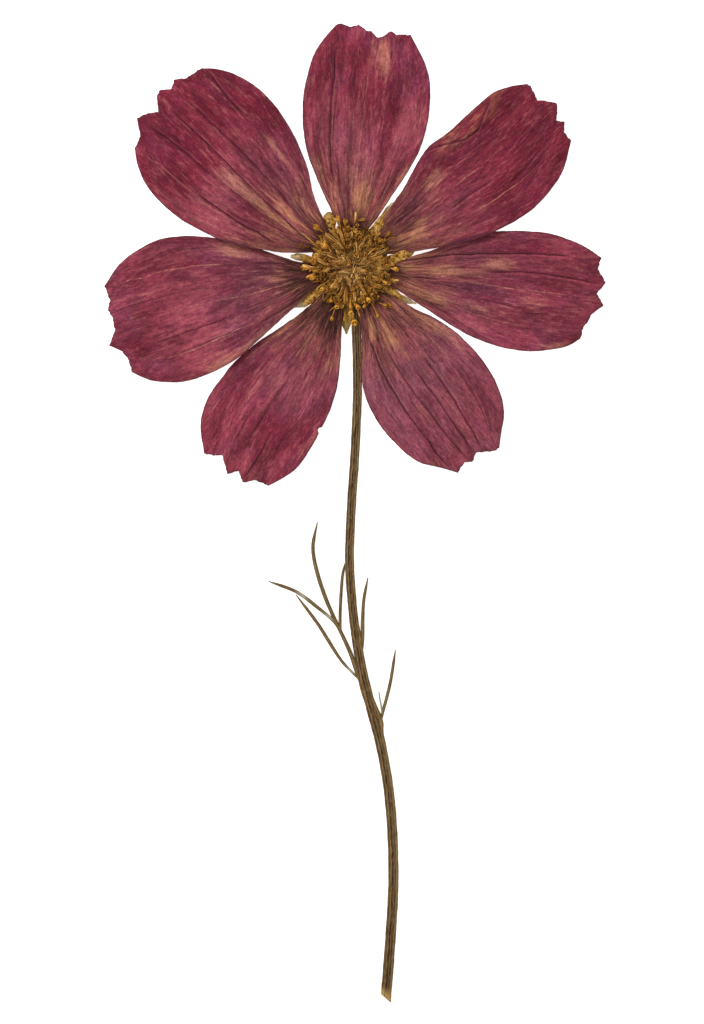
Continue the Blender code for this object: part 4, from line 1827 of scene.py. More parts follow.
# The seven ray petals, clockwise from the top one, with the marks that each has taken in drying.
# Their creases carry painted shade and highlights; foot_reach and covers also place painted shade.
PETALS: tuple[RayPetal, ...] = (
    RayPetal(
        "petal_top", 84.2,
        left=((8.0, 3.5), (16.8, 8.3), (21.7, 9.7), (27.0, 10.1), (32.5, 9.3), (35.0, 8.3)),
        teeth=((38.1, 6.2), (38.6, 5.7), (38.2, 3.6), (38.7, 2.5), (37.9, 1.2), (37.8, 0.3), (37.0, -0.6),
               (37.0, -1.4), (38.2, -2.7), (37.7, -3.7), (37.9, -6.0)),
        right=((8.0, -3.6), (10.0, -4.6), (16.5, -8.0), (20.1, -9.4), (24.0, -10.1), (28.5, -10.1),
               (32.6, -9.2)),
        creases=(
            Line(((0.27, 0.20), (0.40, 0.22), (0.50, 0.225), (0.60, 0.225), (0.75, 0.22),
                  (0.86, 0.18)), 0.9),
            Line(((0.68, 0.39), (0.80, 0.38)), 0.6, 0.16),
            Line(((0.74, 0.355), (0.80, 0.35)), 0.5, 0.14),
            Line(((0.12, 0.88), (0.35, 0.83)), 0.7, 0.25),
            Line(((0.08, 0.30), (0.26, 0.27)), 0.6, 0.25),
        ),
        gleams=(
            Line(((0.12, 0.50), (0.45, 0.48), (0.80, 0.49)), 0.6, 0.14),
            Line(((0.40, 0.24), (0.60, 0.245), (0.75, 0.24)), 0.5, 0.12),
            Line(((0.20, 0.68), (0.37, 0.63)), 0.6, 0.14),
            Line(((0.60, 0.90), (0.74, 0.88)), 0.7, 0.10),
            Line(((0.56, 0.94), (0.66, 0.935)), 0.6, 0.10),
        ),
        patches={
            Tone.TAN: (Patch(0.62, 0.90, 0.10, 0.12, 0.7), Patch(0.65, 0.89, 0.03, 0.07, 0.6),
                       Patch(0.59, 0.19, 0.10, 0.10, 0.9), Patch(0.06, 0.31, 0.08, 0.10, 0.6),
                       Patch(0.97, 0.32, 0.05, 0.08, 0.6), Patch(0.03, 0.69, 0.04, 0.08, 0.4)),
            Tone.ROSE: (Patch(0.35, 0.50, 0.30, 0.18, 0.8), Patch(0.85, 0.55, 0.12, 0.20, 0.7)),
            Tone.RED: (Patch(0.39, 0.88, 0.09, 0.08, 0.8), Patch(0.11, 0.73, 0.05, 0.13, 0.7),
                       Patch(0.70, 0.52, 0.06, 0.25, 0.9), Patch(0.30, 0.80, 0.30, 0.08, 0.5),
                       Patch(0.85, 0.80, 0.10, 0.08, 0.4)),
            Tone.PLUM: (Patch(0.30, 0.20, 0.12, 0.11, 0.5), Patch(0.74, 0.30, 0.04, 0.08, 0.5)),
        },
        seed=21,
        warm=0.55,
    ),
    RayPetal(
        "petal_upper_right", 37.8,
        left=((8.0, 2.6), (12.3, 3.9), (14.5, 4.6), (17.4, 5.9), (21.6, 7.4), (25.2, 7.3), (35.0, 7.9),
              (38.2, 6.9)),
        teeth=((40.4, 5.6), (40.6, 5.0), (40.1, 2.6), (41.1, 1.7), (42.2, 0.4), (42.0, -0.2),
               (40.5, -1.8), (41.4, -2.8), (40.3, -4.1), (40.4, -5.8)),
        right=((8.0, -3.6), (9.5, -4.4), (13.7, -6.7), (17.5, -8.4), (21.5, -9.8), (28.8, -10.7),
               (35.8, -9.1)),
        creases=(
            Line(((0.44, 0.0), (0.47, 0.03), (0.57, 0.10), (0.62, 0.15), (0.69, 0.165), (0.74, 0.12),
                  (0.80, 0.05), (0.83, 0.0)), 0.8, 0.18),
            Line(((0.37, 0.595), (0.60, 0.58)), 0.8),
            Line(((0.60, 0.25), (0.70, 0.26)), 0.6, 0.16),
            Line(((0.10, 0.30), (0.30, 0.33)), 0.6, 0.28),
            Line(((0.64, 0.70), (0.86, 0.69)), 0.45, 0.16),
        ),
        gleams=(
            Line(((0.50, 0.31), (0.57, 0.27)), 0.9, 0.12),
            Line(((0.38, 0.31), (0.49, 0.305)), 0.8, 0.12),
            Line(((0.44, 0.45), (0.57, 0.42)), 0.9, 0.12),
            Line(((0.62, 0.415), (0.70, 0.41)), 0.8, 0.10),
            Line(((0.48, 0.755), (0.60, 0.735), (0.73, 0.75)), 0.9, 0.14),
            Line(((0.30, 0.87), (0.38, 0.78)), 0.4, 0.30),
        ),
        patches={
            Tone.TAN: (Patch(0.24, 0.41, 0.06, 0.07, 0.8), Patch(0.52, 0.25, 0.05, 0.05, 0.6),
                       Patch(0.62, 0.20, 0.09, 0.05, 0.8), Patch(0.75, 0.14, 0.08, 0.06, 0.7),
                       Patch(0.83, 0.34, 0.06, 0.06, 0.3), Patch(0.03, 0.68, 0.05, 0.10, 0.35)),
            Tone.RED: (Patch(0.50, 0.68, 0.40, 0.09, 0.5), Patch(0.53, 0.80, 0.10, 0.07, 0.8),
                       Patch(0.66, 0.55, 0.07, 0.15, 0.6)),
            Tone.PLUM: (Patch(0.50, 0.20, 0.45, 0.10, 0.35), Patch(0.27, 0.22, 0.18, 0.13, 0.75),
                        Patch(0.10, 0.58, 0.05, 0.04, 0.7), Patch(0.17, 0.70, 0.03, 0.05, 0.7)),
        },
        seed=22,
        warm=0.6,
        deep=0.6,
        covers=("petal_right",),
        right_raised_to=22.5,
        folded=True,
    ),
    RayPetal(
        "petal_right", -5.4,
        left=((8.0, 2.0), (11.7, 3.3), (16.5, 5.6), (19.8, 7.0), (22.5, 7.8), (29.6, 8.4), (33.5, 7.9),
              (37.2, 6.7)),
        teeth=((40.0, 5.2), (39.6, 3.4), (41.1, 1.3), (39.8, -0.6), (41.1, -2.3), (39.1, -4.2),
               (39.0, -5.0), (38.2, -6.0), (37.9, -8.0)),
        right=((8.0, -3.1), (11.7, -5.0), (18.7, -8.6), (23.1, -10.1), (27.7, -10.8), (31.5, -10.6),
               (35.9, -9.4)),
        creases=(
            Line(((0.08, 0.07), (0.18, 0.11), (0.28, 0.15), (0.40, 0.195), (0.50, 0.21), (0.62, 0.195),
                  (0.75, 0.18), (0.86, 0.14)), 1.1, 0.26),
            Line(((0.50, 0.38), (0.62, 0.35), (0.70, 0.345), (0.85, 0.34), (0.97, 0.33)), 0.9),
            Line(((0.08, 0.55), (0.20, 0.50), (0.28, 0.49)), 1.0, 0.34),
            Line(((0.20, 0.90), (0.25, 0.88), (0.33, 0.83)), 0.7, 0.24),
            Line(((0.45, 0.64), (0.66, 0.65)), 0.4, 0.16),
        ),
        gleams=(
            Line(((0.35, 0.495), (0.60, 0.50), (0.90, 0.49)), 0.6, 0.14),
            Line(((0.40, 0.79), (0.70, 0.79)), 0.45, 0.12),
            Line(((0.66, 0.80), (0.70, 0.795)), 1.0, 0.13),
            Line(((0.70, 0.67), (0.78, 0.665)), 0.9, 0.11),
        ),
        patches={
            Tone.TAN: (Patch(0.29, 0.53, 0.055, 0.08, 1.0), Patch(0.37, 0.27, 0.10, 0.07, 1.0),
                       Patch(0.30, 0.11, 0.13, 0.06, 0.9), Patch(0.78, 0.27, 0.09, 0.09, 0.9),
                       Patch(0.40, 0.41, 0.05, 0.10, 0.6), Patch(0.62, 0.13, 0.10, 0.05, 0.5),
                       Patch(0.72, 0.50, 0.08, 0.10, 0.4), Patch(0.97, 0.87, 0.04, 0.08, 0.9),
                       Patch(0.60, 0.70, 0.10, 0.08, 0.3)),
            Tone.ROSE: (Patch(0.50, 0.30, 0.35, 0.13, 0.7), Patch(0.80, 0.45, 0.15, 0.15, 0.5)),
            Tone.RED: (Patch(0.14, 0.65, 0.07, 0.17, 0.8), Patch(0.42, 0.75, 0.05, 0.14, 0.5)),
            Tone.PLUM: (Patch(0.56, 0.40, 0.055, 0.17, 1.5), Patch(0.22, 0.40, 0.05, 0.07, 1.2),
                        Patch(0.17, 0.24, 0.05, 0.05, 1.0), Patch(0.76, 0.47, 0.05, 0.08, 0.9),
                        Patch(0.40, 0.64, 0.06, 0.09, 0.6)),
        },
        seed=23,
        warm=0.62,
        mauve=0.20,
        deep=0.12,
    ),
    RayPetal(
        "petal_lower_right", -56.4,
        left=((8.0, 3.2), (12.1, 5.4), (14.7, 7.0), (19.3, 8.7), (25.5, 9.5), (30.6, 8.8), (33.5, 7.4),
              (35.8, 5.3)),
        teeth=((37.4, 3.9), (37.5, 3.2), (36.6, 1.4), (36.0, 0.5), (36.9, -0.9), (36.3, -2.1),
               (37.1, -3.8)),
        right=((8.0, -3.3), (10.9, -4.9), (17.0, -8.8), (22.6, -10.0), (28.4, -9.4), (32.3, -8.0),
               (34.7, -5.8)),
        creases=(
            Line(((0.55, 0.215), (0.75, 0.22), (0.87, 0.21)), 0.6, 0.16),
            Line(((0.10, 0.10), (0.18, 0.14), (0.30, 0.20)), 0.8, 0.24),
            Line(((0.45, 0.375), (0.55, 0.38), (0.80, 0.39), (0.85, 0.38), (0.97, 0.35)), 0.8, 0.18),
            Line(((0.15, 0.37), (0.35, 0.37)), 0.7, 0.22),
            Line(((0.47, 0.50), (0.60, 0.495), (0.80, 0.50), (0.97, 0.505)), 0.8, 0.18),
            Line(((0.30, 0.65), (0.45, 0.62), (0.65, 0.61), (0.85, 0.62), (0.97, 0.66)), 0.7, 0.18),
            Line(((0.18, 0.87), (0.28, 0.80), (0.38, 0.77), (0.50, 0.755), (0.65, 0.765), (0.78, 0.78),
                  (0.87, 0.85), (0.95, 0.95)), 0.9, 0.24),
        ),
        gleams=(
            Line(((0.15, 0.54), (0.30, 0.51), (0.45, 0.49)), 0.8, 0.18),
            Line(((0.35, 0.21), (0.50, 0.21)), 0.7, 0.13),
            Line(((0.25, 0.79), (0.45, 0.735), (0.62, 0.74)), 0.7, 0.13),
            Line(((0.40, 0.35), (0.55, 0.355), (0.72, 0.365)), 0.5, 0.12),
            Line(((0.70, 0.42), (0.88, 0.42)), 0.6, 0.14),
            Line(((0.78, 0.47), (0.95, 0.47)), 0.6, 0.12),
            Line(((0.50, 0.86), (0.70, 0.87)), 0.45, 0.14),
        ),
        patches={
            Tone.TAN: (Patch(0.07, 0.32, 0.06, 0.13, 0.8), Patch(0.57, 0.25, 0.08, 0.08, 0.8),
                       Patch(0.77, 0.18, 0.08, 0.06, 0.8), Patch(0.95, 0.90, 0.05, 0.06, 0.4),
                       Patch(0.30, 0.62, 0.05, 0.20, 0.25), Patch(0.68, 0.60, 0.05, 0.20, 0.25),
                       Patch(0.45, 0.70, 0.04, 0.18, 0.25)),
            Tone.ROSE: (Patch(0.50, 0.32, 0.40, 0.16, 0.6),),
            Tone.RED: (Patch(0.12, 0.74, 0.08, 0.14, 0.5),),
            Tone.PLUM: (Patch(0.94, 0.15, 0.07, 0.06, 0.7), Patch(0.30, 0.38, 0.06, 0.09, 0.6),
                        Patch(0.66, 0.33, 0.12, 0.05, 0.5), Patch(0.42, 0.47, 0.06, 0.05, 0.5)),
        },
        seed=24,
        warm=0.6,
        mauve=0.40,
        right_raised_to=18.5,
    ),
    RayPetal(
        "petal_lower_left", 242.5,
        left=((9.6, 3.6), (16.1, 6.5), (20.5, 7.7), (25.5, 8.0), (31.2, 7.7), (33.9, 6.8)),
        teeth=((37.1, 4.7), (37.3, 2.4), (38.6, 0.8), (37.2, -0.6), (38.5, -2.0), (36.2, -4.1),
               (36.9, -5.4), (37.3, -6.8)),
        right=((9.6, -3.2), (14.6, -5.8), (17.0, -7.2), (20.9, -8.9), (24.4, -9.8), (29.5, -10.4),
               (33.6, -9.4)),
        creases=(
            Line(((0.72, 0.37), (0.97, 0.36)), 0.8),
            Line(((0.45, 0.49), (0.80, 0.50)), 0.45, 0.18),
            Line(((0.65, 0.61), (0.80, 0.62)), 0.5, 0.16),
            Line(((0.12, 0.30), (0.35, 0.34)), 0.5, 0.24),
            Line(((0.12, 0.72), (0.34, 0.74)), 0.5, 0.24),
        ),
        gleams=(
            Line(((0.72, 0.90), (0.80, 0.93)), 0.9, 0.12),
            Line(((0.15, 0.52), (0.38, 0.51)), 0.5, 0.14),
        ),
        patches={
            Tone.TAN: (Patch(0.14, 0.30, 0.07, 0.07, 0.5), Patch(0.55, 0.25, 0.07, 0.12, 0.5),
                       Patch(0.94, 0.34, 0.04, 0.12, 0.5), Patch(0.03, 0.68, 0.04, 0.08, 0.5),
                       Patch(0.68, 0.58, 0.07, 0.14, 0.3), Patch(0.30, 0.92, 0.12, 0.06, 0.3)),
            Tone.ROSE: (Patch(0.45, 0.50, 0.35, 0.13, 0.9), Patch(0.55, 0.93, 0.30, 0.07, 0.8)),
            Tone.RED: (Patch(0.40, 0.73, 0.20, 0.09, 0.8),),
            Tone.PLUM: (Patch(0.90, 0.62, 0.05, 0.22, 0.7), Patch(0.25, 0.40, 0.06, 0.11, 0.6)),
        },
        seed=25,
        foot_reach=0.19,
        warm=0.5,
        mauve=0.1,
        nicks=((0.63, 0.42),),
    ),
    RayPetal(
        "petal_left", 192.8,
        left=((8.0, 3.2), (10.7, 4.8), (16.1, 7.9), (20.3, 10.2), (24.0, 11.4), (29.5, 12.1),
              (34.6, 10.9)),
        teeth=((37.7, 8.8), (37.8, 6.7), (38.5, 5.2), (40.3, 3.8), (38.9, 1.7), (38.8, -0.6),
               (39.3, -1.7), (38.6, -3.2), (38.9, -5.6)),
        right=((8.0, -2.6), (12.7, -5.5), (16.0, -7.4), (19.8, -9.2), (25.5, -10.8), (30.0, -10.8),
               (35.5, -8.7)),
        creases=(
            Line(((0.55, 0.60), (0.70, 0.61), (0.87, 0.64), (0.98, 0.67)), 0.5, 0.16),
            Line(((0.45, 0.325), (0.80, 0.32)), 0.55, 0.16),
            Line(((0.12, 0.07), (0.33, 0.14)), 0.8, 0.26),
            Line(((0.12, 0.86), (0.30, 0.79)), 0.8, 0.24),
            Line(((0.38, 0.175), (0.55, 0.215), (0.80, 0.20)), 0.4, 0.18),
        ),
        gleams=(
            Line(((0.38, 0.17), (0.45, 0.20), (0.55, 0.205), (0.65, 0.195), (0.80, 0.19)), 0.9, 0.13),
            Line(((0.12, 0.455), (0.35, 0.45), (0.50, 0.48)), 0.7, 0.15),
            Line(((0.50, 0.48), (0.65, 0.49), (0.75, 0.50)), 0.35, 0.12),
            Line(((0.40, 0.77), (0.65, 0.77), (0.80, 0.80), (0.92, 0.87)), 0.7, 0.13),
        ),
        patches={
            Tone.TAN: (Patch(0.02, 0.45, 0.04, 0.20, 0.8), Patch(0.02, 0.60, 0.03, 0.05, 0.7),
                       Patch(0.90, 0.38, 0.08, 0.08, 0.7), Patch(0.58, 0.22, 0.08, 0.05, 0.5),
                       Patch(0.28, 0.13, 0.13, 0.04, 0.4), Patch(0.35, 0.62, 0.05, 0.09, 0.35)),
            Tone.ROSE: (Patch(0.50, 0.66, 0.45, 0.14, 0.8),),
            Tone.RED: (Patch(0.35, 0.88, 0.07, 0.08, 0.8), Patch(0.60, 0.66, 0.06, 0.14, 0.4)),
            Tone.PLUM: (Patch(0.50, 0.22, 0.50, 0.07, 0.65), Patch(0.45, 0.48, 0.04, 0.09, 0.7),
                        Patch(0.32, 0.36, 0.13, 0.07, 0.8),
                        Patch(0.58, 0.34, 0.08, 0.05, 0.6), Patch(0.70, 0.28, 0.08, 0.05, 0.6)),
        },
        seed=26,
        covers=("petal_lower_left",),
        left_raised_to=22.5,
        foot_reach=0.17,
        warm=0.35,
        mauve=0.12,
    ),
    RayPetal(
        "petal_upper_left", 137.9,
        left=((8.6, 4.9), (11.8, 7.2), (15.4, 9.5), (19.3, 11.1), (26.0, 12.6), (32.2, 12.3),
              (35.8, 10.8)),
        teeth=((38.2, 9.0), (38.8, 7.0), (41.2, 5.2), (40.4, 3.4), (39.3, 2.2), (41.3, 0.3), (41.4, -0.7),
               (40.2, -2.0), (40.9, -3.4), (39.6, -4.9), (38.9, -7.7)),
        right=((8.0, -2.8), (11.6, -4.4), (15.9, -7.4), (22.3, -10.2), (28.5, -11.4), (33.5, -10.8),
               (36.9, -9.3)),
        creases=(
            Line(((0.60, 0.355), (0.75, 0.36), (0.85, 0.34), (0.95, 0.28)), 0.8),
            Line(((0.20, 0.12), (0.30, 0.18), (0.45, 0.20), (0.60, 0.20)), 1.0, 0.26),
            Line(((0.10, 0.41), (0.20, 0.46), (0.30, 0.475), (0.45, 0.485), (0.60, 0.495), (0.75, 0.50),
                  (0.90, 0.51)), 0.9, 0.22),
            Line(((0.25, 0.64), (0.40, 0.63), (0.55, 0.62), (0.75, 0.62), (0.90, 0.64)), 0.7),
            Line(((0.68, 0.80), (0.78, 0.82), (0.87, 0.87), (0.95, 0.95)), 0.9, 0.22),
            Line(((0.12, 0.30), (0.25, 0.32)), 0.8, 0.26),
            Line(((0.22, 0.93), (0.35, 0.88)), 0.7, 0.26),
        ),
        gleams=(
            Line(((0.65, 0.19), (0.80, 0.18), (0.93, 0.10)), 0.6, 0.14),
            Line(((0.28, 0.155), (0.45, 0.175), (0.60, 0.175)), 0.7, 0.14),
            Line(((0.66, 0.785), (0.78, 0.80), (0.90, 0.87)), 0.6, 0.12),
        ),
        patches={
            Tone.TAN: (Patch(0.43, 0.50, 0.07, 0.12, 0.8), Patch(0.42, 0.23, 0.04, 0.12, 0.9),
                       Patch(0.55, 0.24, 0.05, 0.09, 0.8), Patch(0.03, 0.36, 0.05, 0.08, 0.7),
                       Patch(0.82, 0.50, 0.03, 0.10, 0.6)),
            Tone.ROSE: (Patch(0.45, 0.53, 0.35, 0.11, 0.8), Patch(0.10, 0.50, 0.10, 0.20, 0.6)),
            Tone.RED: (Patch(0.65, 0.79, 0.06, 0.11, 0.8), Patch(0.25, 0.72, 0.07, 0.10, 0.5)),
            Tone.PLUM: (Patch(0.67, 0.18, 0.08, 0.08, 0.8), Patch(0.94, 0.18, 0.07, 0.07, 0.8),
                        Patch(0.17, 0.12, 0.12, 0.08, 0.8)),
        },
        seed=27,
        warm=0.62,
        deep=0.5,
        covers=("petal_left",),
        left_raised_to=22.0,
    ),
)


def strays() -> tuple[Stray, ...]:
    """Lists the florets splayed over the petals round the head, clockwise from the one on the stem.

    Returns:
        The florets.
    """
    bell, club, strap = FloretKind.BELL, FloretKind.CLUB, FloretKind.STRAP
    thread, tube = FloretKind.THREAD, FloretKind.TUBE
    return (
        Stray(bell, (0.85, -9.4), 3.9, 0.42, 8, 0, 25, 0.9, 0.95, 1.75),
        Stray(bell, (0.2, -7.9), 3.0, 0.36, -10, 0, 30, 1.0, 0.9),
        Stray(strap, (0.15, -6.9), 2.6, 0.17, -2, 0, 84, 0.9, 1.0, 2.5),
        Stray(bell, (1.4, -6.8), 2.6, 0.30, 10, 0, 50, 1.0, 0.9),
        Stray(strap, (1.65, -8.1), 2.2, 0.12, 4, 0, 84, 0.7, 0.9, 1.9),
        Stray(strap, (-0.8, -8.8), 2.4, 0.17, 2, 0, 84, 0.5, 0.7, 1.7),
        Stray(strap, (0.9, -6.3), 2.4, 0.16, 6, 0, 84, 0.8, 0.8, 2.4),
        Stray(club, (-2.0, -6.8), 2.8, 0.33, 10, 0, 25, 0.8, 0.9),
        Stray(club, (-2.9, -8.7), 3.6, 0.28, -6, 12, 60, 0.6, 0.7),
        Stray(thread, (-3.3, -7.3), 4.0, 0.24, -6, -24, 84, 0.7, 0.9, 2.6),
        Stray(thread, (-4.3, -5.4), 2.6, 0.18, 14, 20, 84, 0.3, 0.8, 2.2),
        Stray(thread, (4.75, -8.1), 3.6, 0.30, 4, -6, 88, 0.2, 0.9),
        Stray(club, (4.7, -8.3), 1.4, 0.28, 0, 0, 50, 0.8, 0.7, 1.95),
        Stray(bell, (3.2, -5.7), 2.4, 0.30, 10, 0, 50, 1.0, 0.95, 2.5),
        Stray(strap, (2.5, -5.9), 2.4, 0.18, 4, 0, 84, 0.9, 0.8, 2.5),
        Stray(tube, (6.1, -6.4), 2.0, 0.30, 24, 0, 50, 1.0, 0.4, 2.0),
        Stray(bell, (6.6, -6.6), 1.4, 0.26, -20, 0, 50, 1.0, 0.35, 1.95),
        Stray(bell, (7.7, -0.6), 2.6, 0.30, -6, 0, 50, 0.7, 0.9),
        Stray(strap, (7.9, -2.3), 2.2, 0.17, 8, 0, 80, 0.9, 0.7),
        Stray(strap, (7.5, -2.8), 1.8, 0.16, -12, 0, 80, 0.9, 0.6, 2.0),
        Stray(tube, (7.2, 0.3), 2.4, 0.28, 10, 0, 60, 0.5, 0.6),
        Stray(bell, (-5.5, 6.4), 2.2, 0.34, 12, 0, 60, 0.6, 0.8),
        Stray(bell, (-7.5, -0.2), 2.4, 0.36, -6, 0, 70, 0.4, 1.0),
        Stray(strap, (-7.4, 0.2), 2.6, 0.20, 6, -30, 84, 0.3, 1.0, 2.4),
        Stray(bell, (-6.2, -2.0), 2.2, 0.34, 0, 0, 60, 0.5, 1.0),
        Stray(strap, (-6.9, -1.9), 2.2, 0.20, 6, 10, 84, 0.4, 1.0, 2.4),
        Stray(club, (-4.6, -3.9), 2.0, 0.34, 0, 0, 40, 0.9, 0.8, 2.4),
        Stray(tube, (-8.0, 3.3), 2.0, 0.30, 10, 0, 50, 0.2, 0.25, 2.0),
        Stray(bell, (-2.0, 7.8), 2.6, 0.34, 6, 0, 60, 0.9, 0.75),
        Stray(bell, (-0.7, 7.4), 2.2, 0.30, -4, 0, 60, 0.9, 0.5),
        Stray(strap, (1.0, 8.7), 2.4, 0.16, 2, 0, 86, 1.0, 1.0),
        Stray(strap, (2.5, 7.5), 1.4, 0.22, -60, 0, 86, 0.9, 0.8, 2.0),
        Stray(bell, (1.0, 5.8), 1.8, 0.28, 6, 0, 40, 0.5, 0.95, 2.6),
        Stray(thread, (2.1, 5.9), 2.0, 0.20, -50, -30, 84, 0.4, 0.9, 2.6),
        Stray(thread, (7.6, 4.7), 3.0, 0.18, 34, -70, 84, 0.3, 1.0),
        Stray(tube, (6.6, 5.4), 1.8, 0.30, 0, 0, 60, 0.5, 0.3, 2.0),
        Stray(thread, (-7.1, 4.8), 3.9, 0.28, -6, 0, 86, 0.3, 1.0),
        Stray(thread, (-6.2, 3.7), 3.0, 0.20, -8, 10, 86, 0.3, 0.9),
        Stray(bell, (-4.4, 3.4), 2.0, 0.42, 10, 0, 60, 0.5, 1.0, 2.6),
        Stray(bell, (4.7, 5.4), 2.4, 0.30, 4, 0, 50, 0.5, 0.6),
        Stray(bell, (5.2, 4.2), 2.0, 0.28, -8, 0, 60, 0.5, 0.8),
        Stray(strap, (-3.9, 5.3), 4.8, 0.27, 4, 14, 98, 0.0, 0.70, 3.5, 96),
        Stray(strap, (-3.2, 5.8), 4.4, 0.20, 2, 18, 98, 0.2, 0.40, 3.4, 96),
        Stray(strap, (-1.7, 5.9), 3.8, 0.26, -4, 10, 96, 0.5, 0.70, 3.3, 96),
        Stray(strap, (0.4, 5.6), 3.6, 0.23, 4, -8, 96, 0.3, 0.55, 3.3, 95),
        Stray(strap, (-0.5, -6.2), 3.2, 0.36, -2, 14, 96, 0.2, 0.55, 3.1, 96),
        Stray(strap, (0.9, -5.8), 3.2, 0.21, 4, -10, 96, 0.4, 0.80, 3.2, 96),
        Stray(strap, (-1.9, -5.2), 3.0, 0.25, 6, -18, 96, 0.2, 0.50, 3.2, 96),
        Stray(strap, (2.7, -4.7), 4.2, 0.22, 2, 0, 98, 0.2, 0.75, 3.4, 96),
        Stray(strap, (-4.4, -1.6), 2.2, 0.30, 14, 20, 96, 0.4, 0.90, 3.1, 94),
        Stray(strap, (5.2, -3.4), 2.8, 0.38, 8, 20, 96, 0.3, 0.40, 3.0, 94),
        Stray(strap, (5.4, 1.6), 2.6, 0.22, -14, 20, 96, 0.3, 0.70, 3.1, 94),
        Stray(strap, (3.4, 4.4), 3.0, 0.24, 10, 12, 96, 0.3, 0.30, 3.1, 95),
        Stray(strap, (-5.2, 1.2), 2.6, 0.28, -10, -16, 96, 0.2, 0.70, 3.0, 94),
        Stray(bell, (1.3, 1.9), 0.9, 0.36, 0, 0, 20, 0.3, 0.70, 3.2, 60),
        Stray(bell, (-2.4, 3.6), 0.9, 0.32, 0, 0, 20, 0.3, 0.50, 3.0, 60),
        Stray(bell, (3.3, -2.1), 0.9, 0.32, 0, 0, 20, 0.4, 0.45, 3.0, 60),
    )


def bracts() -> tuple[Bract, ...]:
    """Lists the eight long bracts under the head, clockwise from the upper right one.

    Returns:
        The bracts.
    """
    spear = ((0.0, 0.9), (0.5, 0.65), (0.78, 0.48), (1.0, 0.03))
    blade = ((0.0, 0.7), (0.5, 0.55), (0.85, 0.48), (1.0, 0.12))
    broad = ((0.0, 0.8), (0.5, 0.9), (0.75, 0.7), (1.0, 0.05))
    wide = ((0.0, 0.9), (0.5, 0.72), (0.8, 0.64), (0.93, 0.45), (1.0, 0.05))
    return (
        Bract(((2.0, 3.2), (4.8, 6.6), (6.0, 8.3), (7.4, 10.3)), wide, 0.9, 0.8, 1.15),
        Bract(((2.2, 0.0), (5.7, 0.6), (8.2, 1.6), (10.3, 2.45)), wide, 0.0, 1.0, 1.35),
        Bract(((2.2, -1.6), (6.2, -3.7), (8.2, -5.1), (10.7, -5.95)), spear, 1.0, 0.9),
        Bract(((1.2, -2.2), (3.5, -6.0), (4.8, -9.2)), blade),
        Bract(((-0.2, -3.0), (-0.35, -6.5), (-0.5, -9.0), (-0.5, -10.8)), broad, 0.2, 0.2),
        Bract(((-1.8, -1.4), (-5.2, -4.3), (-6.9, -5.5), (-9.2, -6.6)), broad, 1.0, 1.0),
        Bract(((-2.2, 0.5), (-6.0, 0.9), (-7.8, 1.45), (-9.4, 1.6)), blade, 0.6, 0.8),
        Bract(
            ((-1.2, 2.4), (-2.3, 5.3), (-2.9, 6.5), (-3.4, 8.7)),
            ((0.0, 0.7), (0.45, 0.30), (0.58, 0.35), (0.74, 0.88), (0.90, 0.80), (1.0, 0.15)), 0.0, 1.0,
        ),
    )


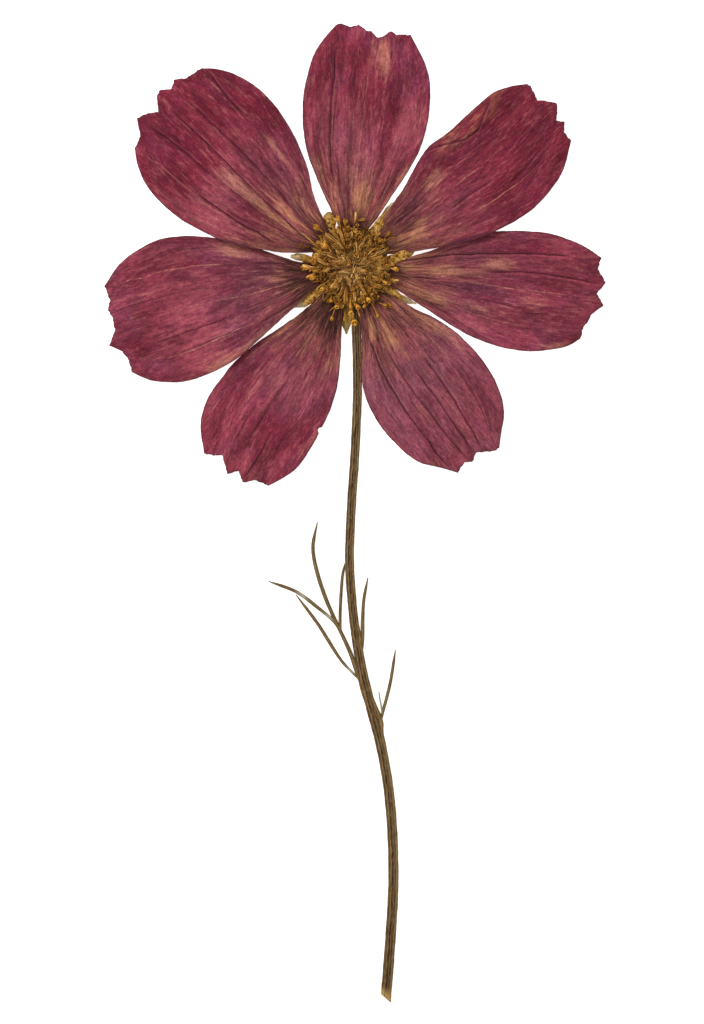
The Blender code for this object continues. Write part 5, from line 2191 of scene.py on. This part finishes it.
def foliage() -> Foliage:
    """Lays out the stem and its three leaves.

    Returns:
        The stem and leaves.
    """
    stem = Stalk(
        "stem",
        route=((0.95, -5.9), (1.15, -11.5), (1.27, -18.2), (1.22, -22.0), (0.80, -31.0), (0.35, -37.4),
               (0.05, -43.8), (0.0, -47.5), (0.38, -53.4), (1.05, -59.3), (2.35, -66.2), (4.0, -72.6),
               (4.85, -75.8), (6.05, -82.2), (6.72, -88.5), (7.0, -95.0), (6.96, -100.5), (6.30, -111.0),
               (5.8, -117.1)),
        widths=((0.0, 1.56), (0.12, 1.47), (0.45, 1.47), (0.53, 1.6), (0.60, 1.72), (0.66, 1.64), (0.8, 1.66),
                (1.0, 1.75)),
        furrows=(Furrow(-0.10, 0.16, 0.22, 0.10), Furrow(0.10, 0.07, -0.06, 0.08), Furrow(-0.36, 0.12, -0.07),
                 Furrow(-0.66, 0.11, 0.12), Furrow(0.44, 0.11, 0.13), Furrow(0.66, 0.12, -0.06),
                 Furrow(0.24, 0.08, 0.10, 0.14), Furrow(0.90, 0.08, 0.10), Furrow(-0.94, 0.06, 0.10)),
        thickness=0.97, cells=(72, 560), seed=61, slant=0.75, ripe=(0.15, 1.0),
        swellings=(
            Swelling(53.8, 3.0, 2.0, 0.12), Swelling(61.5, 4.5, 3.0, -0.16), Swelling(67.6, 4.4, 2.4, 0.44),
        ),
    )
    segments = {
        "leaf_upper_left": (
            (((2.4, -67.2), (1.6, -65.9), (0.16, -61.9), (-1.2, -58.9), (-2.1, -57.0)), 0.80, 0.70, 0.6, ()),
            (((-1.2, -58.9), (-2.2, -56.8), (-3.7, -53.4), (-5.25, -48.7), (-5.85, -44.9), (-5.15, -40.9)),
             0.6, 0.68, 0.16, ()),
            (((-1.3, -58.6), (-2.5, -56.8), (-5.3, -54.4), (-8.5, -52.05), (-13.0, -50.35)), 0.5, 0.62, 0.14,
             ((3.3, 0.8), (8.7, 1.0))),
            (((-1.5, -58.3), (-1.5, -55.4), (-1.3, -51.4), (-1.05, -49.0),
              (-0.5, -46.9)), 0.5, 0.54, 0.2, ()),
            (((2.2, -66.5), (0.48, -65.0), (-1.5, -62.8), (-5.0, -57.3), (-8.6, -52.5)), 0.38, 0.60, 0.14,
             ((2.8, 0.8),)),
        ),
        "leaf_upper_right": (
            (((1.7, -62.6), (2.06, -59.6), (2.12, -56.6), (2.28, -53.4),
              (2.96, -49.7)), 0.70, 0.58, 0.14, ()),
        ),
        "leaf_lower_right": (
            (((4.8, -73.3), (5.3, -71.4), (6.0, -68.8), (6.6, -66.2), (7.36, -61.3)), 0.50, 0.56, 0.14, ()),
            (((5.25, -71.6), (5.1, -70.6), (4.85, -69.2), (4.68, -67.9)), 0.30, 0.26, 0.1, ((1.5, 3.0),)),
        ),
    }
    veined = (Furrow(-0.60, 0.16, 0.07), Furrow(0.62, 0.16, 0.07), Furrow(0.05, 0.22, -0.05))
    leaves = {
        name: tuple(
            Stalk(
                f"{name}_{k}", route, ((0.0, root), (0.5, middle), (0.85, 0.85 * middle), (1.0, tip)), veined,
                thickness=0.55, cells=(24, 110), seed=70 + 5 * k, ripe=(0.15, 0.35), bleached=bleached,
            )
            for k, (route, root, middle, tip, bleached) in enumerate(rows)
        )
        for name, rows in segments.items()
    }
    return Foliage(stem, leaves)


def main() -> None:
    """Builds the flower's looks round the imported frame."""
    logging.basicConfig(level=logging.INFO, format="%(name)s %(message)s")
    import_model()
    Studio().build()
    stem_finish = StalkFinish(
        "dried_stem", groove=(0.040, 0.021, 0.010), body=(0.168, 0.101, 0.038), plum=(0.112, 0.057, 0.026),
        rib=(0.285, 0.190, 0.095), ochre=(0.255, 0.135, 0.022),
    )
    leaf_finish = StalkFinish(
        "dried_leaf", groove=(0.066, 0.038, 0.012), body=(0.170, 0.112, 0.038), plum=(0.125, 0.074, 0.027),
        rib=(0.28, 0.205, 0.100), ochre=(0.20, 0.12, 0.036),
    )
    foliage().build(stem_finish, leaf_finish)
    Involucre(bracts()).build(BractFinish())
    Corolla(PETALS).build(PetalFinish())
    FloretHead().build(FloretFinish(), strays())


if __name__ == "__main__":
    main()
